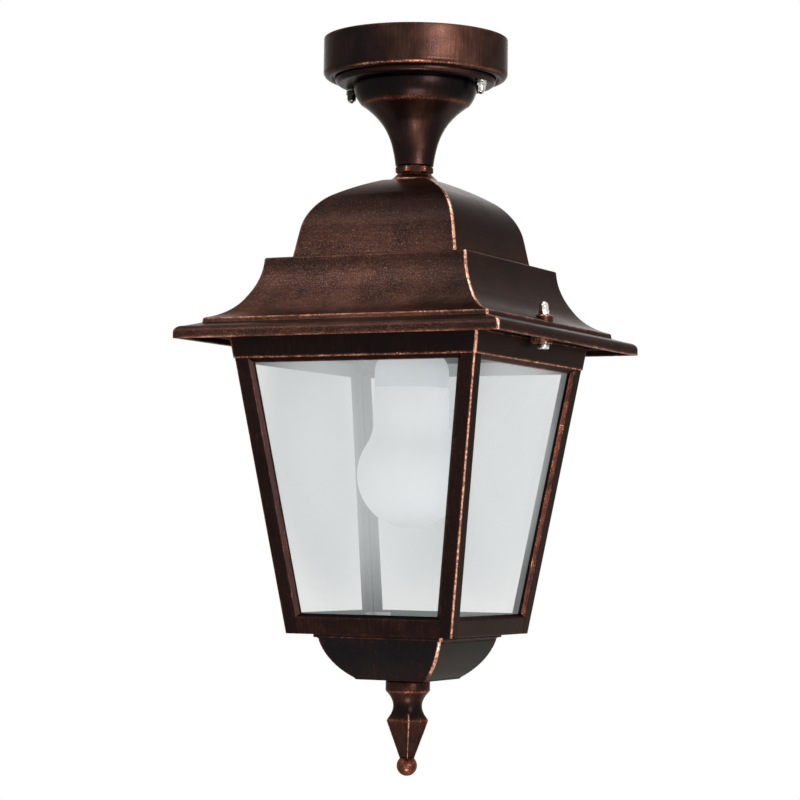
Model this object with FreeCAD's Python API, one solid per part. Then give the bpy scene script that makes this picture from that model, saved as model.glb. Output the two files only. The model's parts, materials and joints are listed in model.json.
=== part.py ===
import FreeCAD, Part
import math
import os
from FreeCAD import Vector

# Porch ceiling lantern, millimetres, +Z up.
# The origin is the centre of the ceiling plane, and the lantern hangs below it.
# The cage has four glazed faces: front (-Y), right (+X), back (+Y) and left (-X).

# Canopy, the round cover against the ceiling
CANOPY_R = 52.0
CANOPY_WALL = 2.2
CANOPY_RIM_Z = -22.6       # lowest line of the rolled rim
CANOPY_FLOOR_Z = -25.8     # underside of the second, smaller disc
CANOPY_FLOOR_T = 2.4
CANOPY_DISC_R = 45.4
CANOPY_FIX_X = 40.6        # the two canopy screws stand on the X axis

# Ceiling strap inside the canopy
STRAP_HALF_LENGTH = 45.5
STRAP_HALF_WIDTH = 8.5
STRAP_T = 1.8
STRAP_JOGGLE = 3.6         # the ends stand this far below the ceiling, clear of the screw heads
CEILING_SLOT_SPACING = 48.0
CEILING_SLOT_LENGTH = 14.0
CEILING_SLOT_R = 2.6

# Trumpet-shaped stem, and the M10 tube that ties the stack together
STEM_END_Z = -71.8
NIPPLE_R = 5.0
NIPPLE_BORE_R = 3.6
NIPPLE_TOP_Z = -17.5
NIPPLE_END_Z = -92.5
LOCK_NUT_AF = 18.5
LOCK_NUT_END_Z = -76.3

# Roof: every "a" is half the width of a square section
ROOF_TOP_Z = -80.4
ROOF_TOP_A = 13.4
DOME_FOOT_A = 50.0
DOME_FOOT_Z = -126.3
LEDGE_Z = -127.5
LEDGE_A = 61.4
BEAD_A = 86.0
BRIM_A = 97.55
BRIM_Z = -173.9
ROOF_WALL = 2.6
ROOF_BORE_R = NIPPLE_R + 0.06
ROOF_PAD_R = 14.5
ROOF_PAD_Z = -86.4        # underside of the thick pad round the bore
CROWN_END_Z = -131.0      # just under the ledge's plate
SKIRT_END_Z = -152.0
STRAP_BOSS_R = 4.0
STRAP_BOSS_Z = -134.0
SEAL_RIB = (70.4, 73.0)   # half widths inside and outside
SEAL_RIB_TOP_Z = -154.0
GUSSET_T = 1.8
GUSSET_REACH = 14.0

# Roof fixings: a screw through each lug of the cage, closed by a cap nut on the roof
FIX_X = 80.2
FIX_BOSS_R = 5.2
FIX_BOSS_TOP_Z = -158.3
LUG_TOP_Z = -170.4
LUG_END_Z = -174.0
LUG_R = 5.0
SCREW_R = 1.5

# Cage: a square taper, half width CAGE_A at CAGE_A_Z
CAGE_A = 72.5
CAGE_A_Z = -184.9
CAGE_SLOPE = 0.1477
CAGE_TOP_Z = -171.0
CAGE_END_Z = -334.0
CAGE_WALL = 4.0
CAGE_FLOOR_T = 3.0
BAND_PROUD = 0.6
BAND_END_Z = -183.5
POST_W = 10.5             # face width of a corner post, beside the window
WINDOW_TOP_Z = -186.0
WINDOW_END_Z = -322.7
WINDOW_BEVEL = 2.2
FLOOR_HOLE_R = 31.0
SEAL_A = 73.4
SEAL_H = 2.5

# Glass
PANE_T = 2.5
PANE_OVERLAP = 3.5
PANE_TOP_Z = -178.5
PANE_END_Z = -329.0

# Bottom cup and finial
CUP_FLANGE_A = 39.4
CUP_A = 37.2
CUP_END_Z = -359.4
CUP_END_A = 21.4
CUP_WALL = 2.4
CUP_SCREW_XY = 29.0
FINIAL_R = 12.4
FINIAL_SHOULDER_R = 11.7
FINIAL_SHOULDER_Z = -382.0
FINIAL_TIP_R = 3.45
FINIAL_TIP_Z = -404.8     # inside the ball
FINIAL_TURN = -60.0       # degrees; one edge of the spear stands 30 degrees right of the front
FINIAL_STUD_R = 3.0
BALL_R = 5.7
BALL_Z = -407.3

# Lamp and lampholder
GLOBE_R = 30.0
GLOBE_Z = -245.6
GLOBE_WALL = 1.2
LAMP_NECK_R = 21.0
LAMP_JOINT_Z = -197.4
LAMP_SHOULDER_Z = -177.6
LAMP_CAP_R = 13.1
LAMP_TIP_Z = -151.7
HOLDER_R = 19.8
SOCKET_R = LAMP_CAP_R + 0.7
HOLDER_TOP_Z = -124.0
HOLDER_MOUTH_Z = -176.6
HOLDER_STRAP_X = 53.0

Z = Vector(0, 0, 1)
SIDES = {"front": -90, "right": 0, "back": 90, "left": 180}


# ---------- helpers ----------

def chain(steps):
    """Edges in the XZ plane: (x, z) draws a line, ((x, z), (x, z)) an arc through the first to the second."""
    here = steps[0]
    edges = []
    for step in steps[1:]:
        start = Vector(here[0], 0, here[1])
        if isinstance(step[0], tuple):
            via, end = step
            edges.append(Part.Arc(start, Vector(via[0], 0, via[1]), Vector(end[0], 0, end[1])).toShape())
        else:
            end = step
            edges.append(Part.LineSegment(start, Vector(end[0], 0, end[1])).toShape())
        here = end
    return edges


def closed_face(steps):
    return Part.Face(Part.Wire(chain(steps + [steps[0]])))


def revolved(steps):
    """Solid of revolution about Z of a closed half section."""
    return closed_face(steps).revolve(Vector(0, 0, 0), Z, 360)


def cylinder(r, z_low, z_high, x=0.0, y=0.0):
    return Part.makeCylinder(r, z_high - z_low, Vector(x, y, z_low))


def box(x0, x1, y0, y1, z0, z1):
    return Part.makeBox(x1 - x0, y1 - y0, z1 - z0, Vector(x0, y0, z0))


def fused(shapes):
    whole = shapes[0].multiFuse(shapes[1:]) if len(shapes) > 1 else shapes[0]
    return whole.removeSplitter()


def turned(shape, degrees):
    copy = shape.copy()
    copy.rotate(Vector(0, 0, 0), Z, degrees)
    return copy


def moved(shape, x, y, z):
    copy = shape.copy()
    copy.translate(Vector(x, y, z))
    return copy


def group(shapes):
    return Part.makeCompound(shapes)


def mirrored_wire(steps):
    """Closed outline in XZ from a half outline that starts and ends on x = 0."""
    half = Part.Wire(chain(steps))
    other = half.mirror(Vector(0, 0, 0), Vector(1, 0, 0))
    return Part.Wire(Part.__sortEdges__(half.Edges + other.Edges))


def vault_of(wire, reach):
    """Square dome: one outline extruded along Y and along X, and what both share, so the corners mitre."""
    slab = Part.Face(wire).extrude(Vector(0, 2 * reach, 0))
    slab.translate(Vector(0, -reach, 0))
    return slab.common(turned(slab, 90))


def flat_face(corners):
    return Part.Face(Part.makePolygon(corners + [corners[0]]))


def flat_sided(ring, other):
    """Solid between two flat rings with equally many corners and parallel sides."""
    faces = [flat_face(ring), flat_face(other)]
    for i in range(len(ring)):
        faces.append(flat_face([ring[i - 1], ring[i], other[i], other[i - 1]]))
    solid = Part.Solid(Part.Shell(faces))
    return solid.reversed() if solid.Volume < 0 else solid


def square_ring(a, z):
    return [Vector(a, -a, z), Vector(a, a, z), Vector(-a, a, z), Vector(-a, -a, z)]


def square_taper(a_top, z_top, a_end, z_end):
    return flat_sided(square_ring(a_top, z_top), square_ring(a_end, z_end))


def hex_prism(across_flats, z_low, z_high, x=0.0, y=0.0, turn=0.0):
    r = across_flats / math.sqrt(3)
    corners = []
    for i in range(6):
        angle = math.radians(60 * i + turn)
        corners.append(Vector(x + r * math.cos(angle), y + r * math.sin(angle), z_low))
    return flat_face(corners).extrude(Vector(0, 0, z_high - z_low))


def hex_nut(across_flats, bore_r, z_low, z_high, x=0.0, y=0.0):
    nut = hex_prism(across_flats, z_low, z_high, x, y)
    return nut.cut(cylinder(bore_r, z_low - 1, z_high + 1, x, y))


def turned_rims(nut, across_flats, z_low, z_high):
    """A nut on the Z axis whose two rims are turned to a 30 degree cone."""
    r = across_flats / math.sqrt(3)
    rim = across_flats / 2 * 0.96
    rise = (r - rim) * math.tan(math.radians(30))
    return nut.common(revolved([(0, z_low), (rim, z_low), (r, z_low + rise), (r, z_high - rise),
                                (rim, z_high), (0, z_high)]))


def washer(r, bore_r, z_low, z_high, x=0.0, y=0.0):
    return cylinder(r, z_low, z_high, x, y).cut(cylinder(bore_r, z_low - 1, z_high + 1, x, y))


def cap_nut(seat_z, direction, height, x, turn=0.0):
    """Domed M3 cap nut, 5.5 across flats. direction +1 stands on its seat, -1 hangs from it."""
    hexagon_h = 2.4
    neck_r = 2.5
    dome_z = height - neck_r
    body = revolved([(0, 0), (3.18, 0), (3.18, hexagon_h), (neck_r + 0.1, hexagon_h + 0.35),
                     (neck_r, dome_z),
                     ((neck_r * math.cos(0.8), dome_z + neck_r * math.sin(0.8)), (0, height))])
    hexagon = hex_prism(5.5, 0, hexagon_h, 0, 0, turn)
    upper = cylinder(3.3, hexagon_h, height + 1)
    nut = body.common(fused([hexagon, upper]))
    nut = nut.cut(cylinder(SCREW_R + 0.07, -1, height - 1.5))
    if direction < 0:
        nut.rotate(Vector(0, 0, 0), Vector(1, 0, 0), 180)
    return moved(nut, x, 0, seat_z)


def cheese_screw(x, y, head_z, direction, shank, head_r=2.75, head_h=1.8):
    """M3 screw with a plain round head. The shank leaves head_z along direction (+1 up, -1 down)."""
    screw = revolved([(0, -head_h), (head_r, -head_h), (head_r, 0), (SCREW_R, 0),
                      (SCREW_R, shank), (0, shank)])
    if direction < 0:
        screw.rotate(Vector(0, 0, 0), Vector(1, 0, 0), 180)
    return moved(screw, x, y, head_z)


def pan_screw(x, head_z, shank, head_r, head_h, slot, slot_turn):
    """M3 screw on the X axis with a rounded, slotted head below head_z and its shank upwards."""
    head = revolved([(0, 0), (head_r, 0), (head_r, -head_h * 0.45),
                     ((head_r * 0.93, -head_h * 0.8), (head_r * 0.8, -head_h)), (0, -head_h)])
    head = head.cut(box(-head_r - 1, head_r + 1, -slot / 2, slot / 2, -head_h - 1, -head_h * 0.5))
    screw = fused([head, cylinder(SCREW_R, -0.01, shank)])
    return moved(turned(screw, slot_turn), x, 0, head_z)


def export(name, shape):
    for solid in shape.Solids:
        if not solid.isValid() or not solid.isClosed():
            print("not a closed valid solid:", name)
    shape.exportStep("parts/" + name + ".step")
    print("%-26s solids %2d  volume %9.1f" % (name, len(shape.Solids), shape.Volume))


# ---------- what stays on the ceiling ----------

def ceiling_strap():
    """Flat steel strap with joggled ends, a cable hole, two slots and an ear for the terminal block."""
    low = -STRAP_JOGGLE - STRAP_T
    bend0 = CEILING_SLOT_SPACING / 2 + CEILING_SLOT_LENGTH / 2 + 1.6
    bend1 = bend0 + 2.4
    side = closed_face([(-STRAP_HALF_LENGTH, low), (-bend1, low), (-bend0, -STRAP_T), (bend0, -STRAP_T),
                        (bend1, low), (STRAP_HALF_LENGTH, low), (STRAP_HALF_LENGTH, -STRAP_JOGGLE),
                        (bend1 + 0.6, -STRAP_JOGGLE), (bend0 + 0.6, 0), (-bend0 - 0.6, 0),
                        (-bend1 - 0.6, -STRAP_JOGGLE), (-STRAP_HALF_LENGTH, -STRAP_JOGGLE)])
    strap = side.extrude(Vector(0, 2 * STRAP_HALF_WIDTH, 0))
    strap.translate(Vector(0, -STRAP_HALF_WIDTH, 0))
    rounding = cylinder(STRAP_HALF_LENGTH, low - 1, 1)
    strap = strap.common(rounding)
    ear = box(-11, 11, STRAP_HALF_WIDTH - 1, 31, -STRAP_T, 0)
    ear = ear.makeFillet(4.0, [e for e in ear.Edges if e.BoundBox.ZLength > 1 and e.BoundBox.YMin > 30])
    strap = fused([strap, ear])
    strap = strap.cut(cylinder(6.5, -5, 1))
    strap = strap.cut(cylinder(SCREW_R + 0.1, -5, 1, 0, 21))
    half = CEILING_SLOT_LENGTH / 2 - CEILING_SLOT_R
    for side_x in (-1, 1):
        x = side_x * CEILING_SLOT_SPACING / 2
        slot = fused([box(x - half, x + half, -CEILING_SLOT_R, CEILING_SLOT_R, -5, 1),
                      cylinder(CEILING_SLOT_R, -5, 1, x - half), cylinder(CEILING_SLOT_R, -5, 1, x + half)])
        strap = strap.cut(slot)
        strap = strap.cut(cylinder(SCREW_R + 0.1, low - 1, 1, side_x * CANOPY_FIX_X))
    return strap


def canopy():
    """Spun cover: rolled rim, annular groove, and a second disc that carries the two cap nuts."""
    r = CANOPY_R
    d = CANOPY_DISC_R
    low = CANOPY_FLOOR_Z
    rim = CANOPY_RIM_Z
    wall = CANOPY_WALL
    groove = rim + 1.2
    section = [(NIPPLE_R + 0.15, low), (d - 2.8, low), ((d - 0.85, low + 0.85), (d, low + 2.8)), (d, groove),
               (d + 1.2, groove), (d + 2.0, rim), (r - 3.6, rim), ((r - 1.0, rim + 1.1), (r, rim + 4.2)),
               (r, 0), (r - wall, 0), (r - wall, rim + 4.4), (r - wall - 1.6, rim + 2.8),
               (d - 2.0, rim + 2.8), (d - 2.0, low + 3.8), (d - 3.4, low + CANOPY_FLOOR_T),
               (NIPPLE_R + 0.15, low + CANOPY_FLOOR_T)]
    cover = revolved(section)
    for side in (-1, 1):
        cover = cover.cut(cylinder(SCREW_R + 0.2, low - 1, 0, side * CANOPY_FIX_X))
    return cover


def trumpet_stem():
    """Hollow bowl with a stepped edge that sweeps down into a thick neck."""
    top = CANOPY_FLOOR_Z
    foot = STEM_END_Z
    section = [(34.9, top), ((33.7, -32.0), (30.6, -37.0)), (29.5, -37.6), ((23.5, -42.5), (18.8, -47.7)),
               ((14.5, -55.5), (12.2, -63.1)), ((11.3, -67.5), (10.7, foot)), (NIPPLE_R + 0.1, foot),
               (NIPPLE_R + 0.1, -60.0), (10.3, -60.0), ((12.6, -53.4), (16.8, -45.9)),
               ((21.7, -40.5), (27.0, -36.3)), ((30.6, -31.4), (32.3, top))]
    return revolved(section)


def ceiling_parts():
    strap_low = -STRAP_JOGGLE - STRAP_T
    export("ceiling_strap", ceiling_strap())
    export("canopy", canopy())
    export("trumpet_stem", trumpet_stem())
    xs = (-CANOPY_FIX_X, CANOPY_FIX_X)
    shank = -STRAP_JOGGLE - CANOPY_FLOOR_Z + 5.0
    export("canopy_screws", group([cheese_screw(x, 0, -STRAP_JOGGLE, -1, shank) for x in xs]))
    export("canopy_screw_nuts", group([hex_nut(5.5, SCREW_R, strap_low - 2.4, strap_low, x) for x in xs]))
    export("canopy_cap_nuts", group([cap_nut(CANOPY_FLOOR_Z - 0.5, -1, 7.4, x, 15) for x in xs]))
    export("canopy_washers", group([washer(3.1, SCREW_R + 0.1, CANOPY_FLOOR_Z - 0.5, CANOPY_FLOOR_Z, x)
                                    for x in xs]))
    tube = washer(NIPPLE_R, NIPPLE_BORE_R, NIPPLE_END_Z, NIPPLE_TOP_Z)
    export("threaded_nipple", tube)
    floor_top = CANOPY_FLOOR_Z + CANOPY_FLOOR_T
    export("earth_washer", earth_washer(floor_top))
    export("nipple_top_nut", hex_nut(14.0, NIPPLE_R, floor_top + 0.8, floor_top + 4.8))
    lock_nut = hex_nut(LOCK_NUT_AF, NIPPLE_R, LOCK_NUT_END_Z, STEM_END_Z)
    export("stem_lock_nut", turned_rims(lock_nut, LOCK_NUT_AF, LOCK_NUT_END_Z, STEM_END_Z))
    cup = [(NIPPLE_R + 0.1, ROOF_TOP_Z), (13.3, ROOF_TOP_Z), (12.9, -79.5), (12.2, -79.0),
           (9.5, LOCK_NUT_END_Z), (NIPPLE_R + 0.1, LOCK_NUT_END_Z)]
    export("roof_cup_washer", revolved(cup))
    export("roof_clamp_washer", washer(12.0, NIPPLE_R + 0.1, ROOF_PAD_Z - 1.5, ROOF_PAD_Z))
    export("roof_clamp_nut", hex_nut(14.0, NIPPLE_R, ROOF_PAD_Z - 5.5, ROOF_PAD_Z - 1.5))
    terminal_parts()


def earth_washer(z_low):
    """Toothed ring with a flat tab bent up for the earth lead."""
    teeth = washer(8.6, NIPPLE_R + 0.1, z_low, z_low + 0.8)
    for i in range(16):
        notch = turned(box(7.6, 9.5, -0.45, 0.45, z_low - 1, z_low + 2), i * 22.5)
        teeth = teeth.cut(notch)
    tab = fused([box(-3, 3, -14.5, -7.2, z_low, z_low + 0.8), box(-3, 3, -14.5, -13.7, z_low, z_low + 6.5)])
    tab = tab.cut(Part.makeCylinder(1.1, 4, Vector(0, -16, z_low + 4.4), Vector(0, 1, 0)))
    return fused([teeth, tab])


def terminal_parts():
    """Three-pole block under the strap's ear: a tower per pole, brass clamps, and two screws per clamp."""
    top = -STRAP_T
    low = top - 12.5
    poles = (-8.6, 0, 8.6)
    y0 = 12.0
    y1 = 30.0
    clamp_r = 2.3
    tip_r = 1.25
    body = [box(-13, 13, y0 + 3, y1 - 3, top - 5.0, top)]
    for x in poles:
        body.append(box(x - 3.7, x + 3.7, y0, y1, low, top))
    block = fused(body)
    for x in poles:
        block = block.cut(Part.makeCylinder(clamp_r, 30, Vector(x, y0 - 5, top - 6.5), Vector(0, 1, 0)))
        for y in (y0 + 4, y1 - 4):
            block = block.cut(cylinder(1.9, low - 1, top - 6.5, x, y))
    block = block.cut(cylinder(SCREW_R + 0.1, low - 1, 1, 0, 21))
    block = block.cut(cylinder(3.0, low - 1, top - 9.0, 0, 21))
    export("terminal_block", block)
    clamps = []
    screws = []
    for x in poles:
        barrel = Part.makeCylinder(clamp_r, y1 - y0 - 3, Vector(x, y0 + 1.5, top - 6.5), Vector(0, 1, 0))
        barrel = barrel.cut(Part.makeCylinder(1.5, 30, Vector(x, y0 - 5, top - 6.5), Vector(0, 1, 0)))
        for y in (y0 + 4, y1 - 4):
            barrel = barrel.cut(cylinder(tip_r, low - 1, top - 6.5, x, y))
            screws.append(fused([cylinder(tip_r, top - 9.5, top - 7.0, x, y),
                                 cylinder(1.75, top - 11.0, top - 9.5, x, y)]))
        if x == 0:
            barrel = barrel.cut(cylinder(SCREW_R + 0.1, low - 1, 1, 0, 21))
        clamps.append(barrel)
    export("terminal_clamps", group(clamps))
    export("terminal_clamp_screws", group(screws))
    export("terminal_fixing_screw", cheese_screw(0, 21, top - 9.0, 1, 10.8))


# ---------- the roof and what hangs in it ----------

def roof_outline(bottom_z):
    """Half outline: sloping crown, dome tier, ledge, flared tier, bead and brim, closed at bottom_z."""
    return [(0, ROOF_TOP_Z), (ROOF_TOP_A, ROOF_TOP_Z), ((24.2, -84.9), (35.4, -91.2)),
            ((43.4, -100.3), (47.4, -111.7)), (DOME_FOOT_A, DOME_FOOT_Z),
            ((DOME_FOOT_A + 0.4, LEDGE_Z + 0.35), (DOME_FOOT_A + 1.3, LEDGE_Z)),
            (LEDGE_A - 1.1, LEDGE_Z), ((LEDGE_A - 0.3, LEDGE_Z - 0.35), (LEDGE_A, LEDGE_Z - 1.2)),
            ((63.3, -138.8), (68.3, -149.2)), ((75.0, -157.0), (BEAD_A - 1.2, -161.8)),
            (BEAD_A - 0.4, -162.2), (BEAD_A, -164.7), (93.4, -166.9),
            ((96.5, -168.1), (BRIM_A, -170.2)), (BRIM_A, bottom_z), (0, bottom_z)]


def slab(z_low, z_high):
    """Everything between two heights."""
    return box(-120, 120, -120, 120, z_low, z_high)


def roof_shell():
    """Square vaults of even wall, open below; returns the shell and its filled outer form."""
    outer = vault_of(mirrored_wire(roof_outline(BRIM_Z)), 120)
    deep = mirrored_wire(roof_outline(BRIM_Z - 20))
    inner = vault_of(deep.makeOffset2D(-ROOF_WALL), 120)
    return outer.cut(inner), outer


def roof_crown(shell):
    """Dome and ledge, with the bored pad for the tube and the two bosses of the lampholder's strap."""
    parts = [shell.common(slab(CROWN_END_Z, 0)), cylinder(ROOF_PAD_R, ROOF_PAD_Z, ROOF_TOP_Z)]
    for side in (-1, 1):
        parts.append(cylinder(STRAP_BOSS_R, STRAP_BOSS_Z, LEDGE_Z - 1, side * HOLDER_STRAP_X))
    crown = fused(parts)
    for side in (-1, 1):
        crown = crown.cut(cylinder(SCREW_R + 0.05, STRAP_BOSS_Z - 1, LEDGE_Z - 2, side * HOLDER_STRAP_X))
    return crown.cut(cylinder(ROOF_BORE_R, ROOF_PAD_Z - 1, ROOF_TOP_Z + 1))


def roof_brim(shell, outer):
    """Foot of the flare, bead and brim, with the seal's rib and a bored, ribbed boss at each fixing."""
    inside, outside = SEAL_RIB
    seal_top = CAGE_TOP_Z + SEAL_H
    rib = square_taper(outside, SEAL_RIB_TOP_Z, outside, seal_top)
    rib = rib.cut(square_taper(inside, SEAL_RIB_TOP_Z + 1, inside, seal_top - 1))
    parts = [shell.common(slab(BRIM_Z - 1, SKIRT_END_Z)), rib.common(outer)]
    gusset_z = (LUG_TOP_Z + 3, FIX_BOSS_TOP_Z - 2)
    for side in (-1, 1):
        x = side * FIX_X
        parts.append(cylinder(FIX_BOSS_R, LUG_TOP_Z, FIX_BOSS_TOP_Z, x))
        gusset = box(x - GUSSET_T / 2, x + GUSSET_T / 2, -GUSSET_REACH, GUSSET_REACH, *gusset_z)
        parts.append(gusset.common(outer))
    brim = fused(parts)
    for side in (-1, 1):
        brim = brim.cut(cylinder(FIX_BOSS_R, FIX_BOSS_TOP_Z, SKIRT_END_Z + 1, side * FIX_X))
        brim = brim.cut(cylinder(SCREW_R + 0.3, LUG_TOP_Z - 1, FIX_BOSS_TOP_Z + 1, side * FIX_X))
    return brim


def lampholder_strap():
    """Top-hat strip, screwed under the two bosses, that carries the lampholder."""
    foot_z = STRAP_BOSS_Z
    t = 1.5
    top = HOLDER_TOP_Z + t
    end = HOLDER_STRAP_X + 5.0
    half = [(0, top), (24.5, top), ((25.9, top - 0.6), (26.5, top - 2.0)), (26.5, foot_z),
            (end, foot_z), (end, foot_z - t), (26.5 - t, foot_z - t), (26.5 - t, HOLDER_TOP_Z - 0.9),
            (26.5 - 2.4, HOLDER_TOP_Z), (0, HOLDER_TOP_Z)]
    strip = Part.Face(mirrored_wire(half)).extrude(Vector(0, 16, 0))
    strip.translate(Vector(0, -8, 0))
    strip = strip.cut(cylinder(SCREW_R + 0.1, -140, -120, -11)).cut(cylinder(SCREW_R + 0.1, -140, -120, 11))
    for side in (-1, 1):
        strip = strip.cut(cylinder(SCREW_R + 0.1, -140, -120, side * HOLDER_STRAP_X))
    return strip.cut(cylinder(5.0, -140, -120))


def lampholder_body():
    """Glazed ceramic holder with a stepped crown, a deep socket and two lead holes."""
    mouth = HOLDER_MOUTH_Z
    top = HOLDER_TOP_Z
    section = [(0, top), (15.0, top), (17.4, top - 2.4), (17.4, top - 9), (HOLDER_R, top - 11.4),
               (HOLDER_R, mouth + 1.5), (HOLDER_R - 1.5, mouth), (SOCKET_R, mouth),
               (SOCKET_R, mouth + 26), (9.5, mouth + 26), (9.5, mouth + 36), (0, mouth + 36)]
    body = revolved(section)
    for side in (-1, 1):
        body = body.cut(cylinder(1.6, mouth + 35, top + 1, 0, side * 6.0))
        body = body.cut(cylinder(SCREW_R + 0.05, top - 8, top + 1, side * 11.0))
    return body


def lampholder_contact():
    """Bent leaf: a pad on the socket's roof, a slope, and a flat tongue over the lamp's tip."""
    roof_z = HOLDER_MOUTH_Z + 36
    t = 0.7
    leaf = closed_face([(8.6, roof_z), (4.2, roof_z), (3.2, LAMP_TIP_Z + t), (-3.4, LAMP_TIP_Z + t),
                        (-3.4, LAMP_TIP_Z), (3.8, LAMP_TIP_Z), (4.8, roof_z - t), (8.6, roof_z - t)])
    leaf = leaf.extrude(Vector(0, 5, 0))
    leaf.translate(Vector(0, -2.5, 0))
    return leaf


def roof_parts():
    shell, outer = roof_shell()
    export("roof_crown", roof_crown(shell))
    export("roof_skirt", shell.common(slab(SKIRT_END_Z, CROWN_END_Z)))
    export("roof_brim", roof_brim(shell, outer))
    export("lampholder_strap", lampholder_strap())
    export("lampholder_body", lampholder_body())
    mouth = HOLDER_MOUTH_Z
    export("lampholder_shell", washer(SOCKET_R, LAMP_CAP_R + 0.08, mouth + 0.5, mouth + 24.5))
    export("lampholder_contact", lampholder_contact())
    export("lampholder_screws", group([cheese_screw(x, 0, HOLDER_TOP_Z + 1.5, -1, 8.5) for x in (-11, 11)]))
    xs = (-HOLDER_STRAP_X, HOLDER_STRAP_X)
    export("strap_screws", group([cheese_screw(x, 0, -135.5, 1, 5.8) for x in xs]))
    seat = FIX_BOSS_TOP_Z + 0.6
    washers = [washer(3.5, SCREW_R + 0.2, FIX_BOSS_TOP_Z, seat, x) for x in (-FIX_X, FIX_X)]
    export("roof_washers", group(washers))
    export("cap_nut_left", cap_nut(seat, 1, 7.2, -FIX_X, 15))
    export("cap_nut_right", cap_nut(seat, 1, 7.2, FIX_X, 15))


# ---------- the cage ----------

def cage_half(z, inset=0.0):
    return CAGE_A + CAGE_SLOPE * (z - CAGE_A_Z) - inset


def cage_taper(z_top, z_end, inset=0.0):
    return square_taper(cage_half(z_top, inset), z_top, cage_half(z_end, inset), z_end)


def window_ring(grow, depth):
    """Trapezium in the front face, grown by grow on every side, depth behind the face."""
    points = []
    for z, side in ((WINDOW_TOP_Z + grow, -1), (WINDOW_TOP_Z + grow, 1),
                    (WINDOW_END_Z - grow, 1), (WINDOW_END_Z - grow, -1)):
        points.append(Vector(side * (cage_half(z) - POST_W + grow), depth - cage_half(z), z))
    return points


def cage_solid():
    """Outer form of the cage, with the top band standing proud."""
    return fused([cage_taper(CAGE_TOP_Z, CAGE_END_Z), cage_taper(CAGE_TOP_Z, BAND_END_Z, -BAND_PROUD)])


def cage_lug():
    """Round ended tongue on the right side of the rim, hooked over it and bored for the roof screw."""
    tongue = box(SEAL_A + 0.2, FIX_X, -LUG_R, LUG_R, LUG_END_Z, LUG_TOP_Z)
    tongue = tongue.fuse(cylinder(LUG_R, LUG_END_Z, LUG_TOP_Z, FIX_X)).removeSplitter()
    return tongue.cut(cage_solid()).cut(cylinder(SCREW_R + 0.1, LUG_END_Z - 1, LUG_TOP_Z + 1, FIX_X))


def cage_frame():
    """Tapered casting: bands, posts, bevelled windows, a floor and corner pads."""
    outer = cage_solid()
    hollow = cage_taper(CAGE_TOP_Z + 5, CAGE_END_Z + CAGE_FLOOR_T, CAGE_WALL)
    frame = outer.cut(hollow)
    opening = flat_sided(window_ring(0, -8), window_ring(0, 12))
    bevel = flat_sided(window_ring(WINDOW_BEVEL + 0.3, -0.3), window_ring(0, WINDOW_BEVEL))
    for turn in (0, 90, 180, 270):
        frame = frame.cut(turned(opening, turn)).cut(turned(bevel, turn))
    pads = []
    for turn in (0, 90, 180, 270):
        web = box(40, 80, 40, 80, CAGE_TOP_Z - 4.0, CAGE_TOP_Z - 0.6)
        web = web.cut(box(30, cage_half(CAGE_TOP_Z) - 19, 30, 90, -180, -170))
        web = web.cut(box(30, 90, 30, cage_half(CAGE_TOP_Z) - 19, -180, -170))
        corner = cage_half(CAGE_TOP_Z) - 13
        web = web.cut(cylinder(SCREW_R + 0.05, -180, -172.4, corner, corner))
        pads.append(turned(web.common(cage_taper(CAGE_TOP_Z, CAGE_TOP_Z - 10, CAGE_WALL - 0.5)), turn))
        low = cage_half(CAGE_END_Z) - 14
        pad = cylinder(4.0, CAGE_END_Z + CAGE_FLOOR_T - 0.5, CAGE_END_Z + CAGE_FLOOR_T + 3.0, low, low)
        pads.append(turned(pad, turn))
    frame = fused([frame] + pads)
    frame = frame.cut(cylinder(FLOOR_HOLE_R, -336, -330))
    for sx in (-1, 1):
        for sy in (-1, 1):
            low = cage_half(CAGE_END_Z) - 14
            frame = frame.cut(cylinder(SCREW_R + 0.05, -333.2, -320, sx * low, sy * low))
            frame = frame.cut(cylinder(SCREW_R + 0.15, -336, -330, sx * CUP_SCREW_XY, sy * CUP_SCREW_XY))
    return frame


def glass_pane():
    """One pane behind the front window: a flat trapezium leaning with the wall."""
    sheet = cage_taper(PANE_TOP_Z, PANE_END_Z, CAGE_WALL)
    sheet = sheet.cut(cage_taper(PANE_TOP_Z, PANE_END_Z, CAGE_WALL + PANE_T))
    w_top = cage_half(PANE_TOP_Z) - POST_W + PANE_OVERLAP
    w_end = cage_half(PANE_END_Z) - POST_W + PANE_OVERLAP
    outline = closed_face([(-w_top, PANE_TOP_Z), (w_top, PANE_TOP_Z),
                           (w_end, PANE_END_Z), (-w_end, PANE_END_Z)])
    return sheet.common(outline.extrude(Vector(0, -100, 0)))


def corner_clip(z_plate, z_tab, reach):
    """Bent clip in a corner: two leaning tabs that press the panes, and a flat plate with a hole."""
    high = max(z_plate, z_tab)
    low = min(z_plate, z_tab)
    inset = CAGE_WALL + PANE_T
    angle = cage_taper(high, low, inset).cut(cage_taper(high, low, inset + 0.9))
    plate_high = z_plate if z_plate > z_tab else z_plate + 0.9
    plate = cage_taper(plate_high, plate_high - 0.9, inset + 0.1)
    near = cage_half(z_plate) - inset - reach
    clip = fused([angle.common(box(near, 90, near, 90, low, high)),
                  plate.common(box(near, 90, near, 90, plate_high - 0.9, plate_high))])
    return clip


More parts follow.
